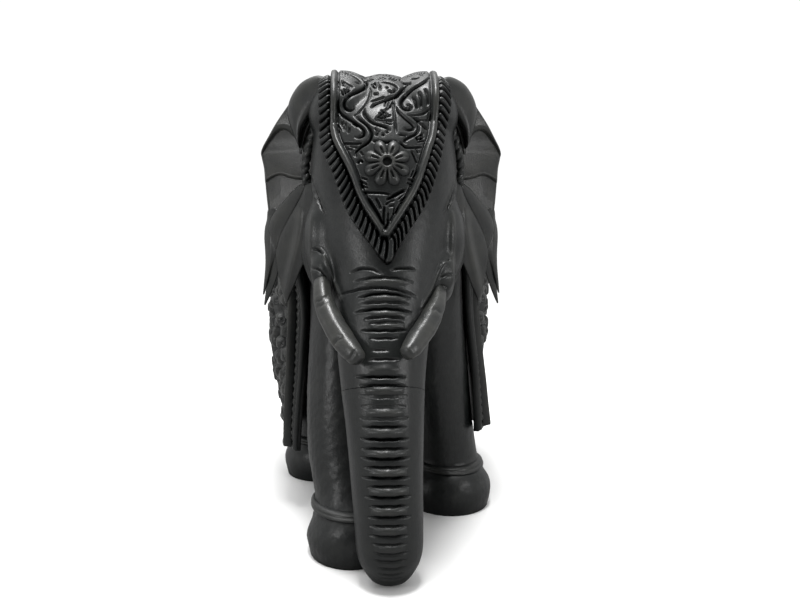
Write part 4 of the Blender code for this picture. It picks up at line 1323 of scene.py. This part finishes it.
def panel_height(flat):
    """Waving vines with leaves, and flowers where they part: flat is (along y, height z)."""
    height = np.zeros(len(flat))
    for level in range(len(VINES)):
        ys = np.linspace(-18, 56, 30)
        stem = np.stack([ys, vine_at(level, ys)], axis=1)
        height = np.maximum(height, 0.75 * stroke(flat, stem, 0.8, taper=0, steps=2))
        for k, y in enumerate(np.arange(-15, 54, 3.4)):
            up = 1 if k % 2 else -1
            outline = leaf_outline(y, vine_at(level, y), up * 0.95, 5.6, 1.9)
            height = np.maximum(height, (0.7 + 0.2 * (k % 3 == 0)) * pad(flat, outline, 1.3))
        if level == len(VINES) - 1:
            continue
        for wave in range(-1, 4):
            x = (math.pi * (2 * wave - 0.5 + level % 2)) / VINE_WAVE
            z = (VINES[level] + VINES[level + 1]) / 2
            for k in range(6):
                outline = leaf_outline(x, z, k * math.pi / 3 + z, 6.6, 2.6)
                height = np.maximum(height, (0.75 + 0.25 * (k % 2)) * pad(flat, outline, 1.5))
            ring = np.linalg.norm(flat - (x, z), axis=1)
            eye = np.sqrt(np.clip(1 - (ring / 1.8) ** 2, 0, 1)) * 0.5 + 0.6
            height = np.where(ring < 1.8, eye, height)
    return height


def make_panels(sections):
    """The floral panels, laid over the falls of the back cloth's sections."""
    for side, word in SIDES:
        columns = slice(10) if side < 0 else slice(-10, None)
        base = refine(sections[1:-1, columns], (16, 16))
        normals = grid_normals(base, base - np.array((0, 20, 60)))
        flat = base[..., 1:].reshape(-1, 2)
        shape = base.shape[:2]
        height = panel_height(flat).reshape(shape)
        i = np.minimum(np.arange(shape[0]), np.arange(shape[0])[::-1])[:, None] * 4.75 / 16
        j = np.minimum(np.arange(shape[1]), np.arange(shape[1])[::-1])[None, :] * 9.2 / 16
        edge = np.minimum(i, j)
        frame_ridge = np.exp(-(((edge - 1.0) / 0.8) ** 4))
        level = 0.3 + 2.7 * np.maximum(np.where(edge > 1.6, height, 0), frame_ridge)
        outer = base + normals * (CLOTH_THICK + level)[..., None]
        inner = base + normals * (CLOTH_THICK - 0.8)
        panel = closed_shell(f"{word}_panel_carving", outer, inner, 0.36 + level / 5)
        finish_piece(panel, f"{word}_panel")


def dress_dowels():
    """The dowels stay as built; those of the ears are stained black, as their ends can be seen."""
    for name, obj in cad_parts.items():
        if "_dowel" in name:
            obj.data.materials.clear()
            obj.data.materials.append(EBONY if "ear" in name else BEECH)


def area_light(name, place, aim, size, watts):
    data = bpy.data.lights.new(name, "AREA")
    data.shape = "DISK"
    data.size = size
    data.energy = watts
    light = bpy.data.objects.new(name, data)
    bpy.context.scene.collection.objects.link(light)
    light.location = place
    light.rotation_euler = (Vector(aim) - Vector(place)).to_track_quat("-Z", "Y").to_euler()


# How bright the studio is before the figure, behind it, above it and at its sides.
WORLD_FRONT, WORLD_BACK, WORLD_TOP, WORLD_SIDES = 0.06, 0.6, 0.35, 1.1


def studio_world():
    """A white studio lit from behind, above and both sides; its front is dim."""
    world = bpy.data.worlds.new("studio")
    world.use_nodes = True
    tree = world.node_tree
    background = tree.nodes["Background"]
    background.inputs["Color"].default_value = (1, 1, 1, 1)
    place = node(tree, "ShaderNodeTexCoord").outputs["Generated"]
    x, y, z = list(joined(tree, "ShaderNodeSeparateXYZ", place).outputs)[:3]

    depth = spread(tree, y, -0.9, 0.5, WORLD_FRONT, WORLD_BACK, "SMOOTHSTEP")
    rise = spread(tree, z, 0.1, 0.9, 0.0, WORLD_TOP, "SMOOTHSTEP")
    sides = spread(tree, combine(tree, "ABSOLUTE", x), 0.86, 0.98, 0.0, WORLD_SIDES, "SMOOTHSTEP")
    for start, end, low, high in ((-0.3, 0.0, 0.0, 1.0), (0.0, 0.22, 1.0, 0.0)):
        band = spread(tree, z, start, end, low, high, "SMOOTHSTEP")
        sides = combine(tree, "MULTIPLY", sides, band)
    total = combine(tree, "ADD", combine(tree, "ADD", depth, rise), sides)
    choose = joined(tree, "ShaderNodeMix", node(tree, "ShaderNodeLightPath").outputs["Is Camera Ray"])
    tree.links.new(total, choose.inputs[2])
    choose.inputs[3].default_value = 1.05
    tree.links.new(choose.outputs[0], background.inputs["Strength"])
    return world


def pale_floor():
    """Pale to the camera, and dimmer in what it throws back at the figure."""
    made, tree, shader = new_material("floor_pale")
    shader.inputs["Roughness"].default_value = 0.8
    shader.inputs["Specular IOR Level"].default_value = 0.0
    choose = joined(tree, "ShaderNodeMix", node(tree, "ShaderNodeLightPath").outputs["Is Camera Ray"])
    choose.data_type = "RGBA"
    choose.inputs[6].default_value = (0.30, 0.30, 0.30, 1)
    choose.inputs[7].default_value = (0.94, 0.94, 0.935, 1)
    tree.links.new(choose.outputs[2], shader.inputs["Base Color"])
    return made


CAMERA_PLACE, CAMERA_ANGLES, CAMERA_LENS = (-10, -288, 112), (82.5, 0, -3.45), 35.2


def make_stage():
    """The floor, the lights and the camera."""
    scene = bpy.context.scene
    scene.view_settings.view_transform = "Standard"
    scene.world = studio_world()

    bm = bmesh.new()
    bmesh.ops.create_grid(bm, x_segments=2, y_segments=2, size=20)
    floor = new_object("floor", mesh_from(bm, "floor"), pale_floor())
    floor.location.z = cad_box[0][2]

    area_light("key", (-0.01, -0.14, 0.6), (0, -0.07, 0.05), 0.14, 2.7)
    for side, word in SIDES:
        place, aim = (side * 0.25, -0.26, 0.14), (side * 0.035, -0.03, 0.12)
        area_light(f"{word}_ear_light", place, aim, 0.08, 0.22)
    sun = bpy.data.lights.new("top", "SUN")
    sun.energy, sun.angle = 1.6, math.radians(50)
    top = bpy.data.objects.new("top", sun)
    scene.collection.objects.link(top)
    top.rotation_euler = (math.radians(-18), math.radians(-8), 0)

    data = bpy.data.cameras.new("camera")
    data.lens = CAMERA_LENS
    data.sensor_width = 36
    data.clip_start = 0.01
    camera = bpy.data.objects.new("camera", data)
    scene.collection.objects.link(camera)
    camera.location = Vector(CAMERA_PLACE) * MM
    camera.rotation_euler = [math.radians(angle) for angle in CAMERA_ANGLES]
    scene.camera = camera


whole_tree, head_tree = make_blocks()
make_rosette(make_headcloth(head_tree))
for side, word in SIDES:
    make_ear(side, word, head_tree)
make_tusks()
make_cords()
make_anklets(whole_tree)
make_tail()
make_panels(make_back_cloth(whole_tree))
dress_dowels()
make_stage()
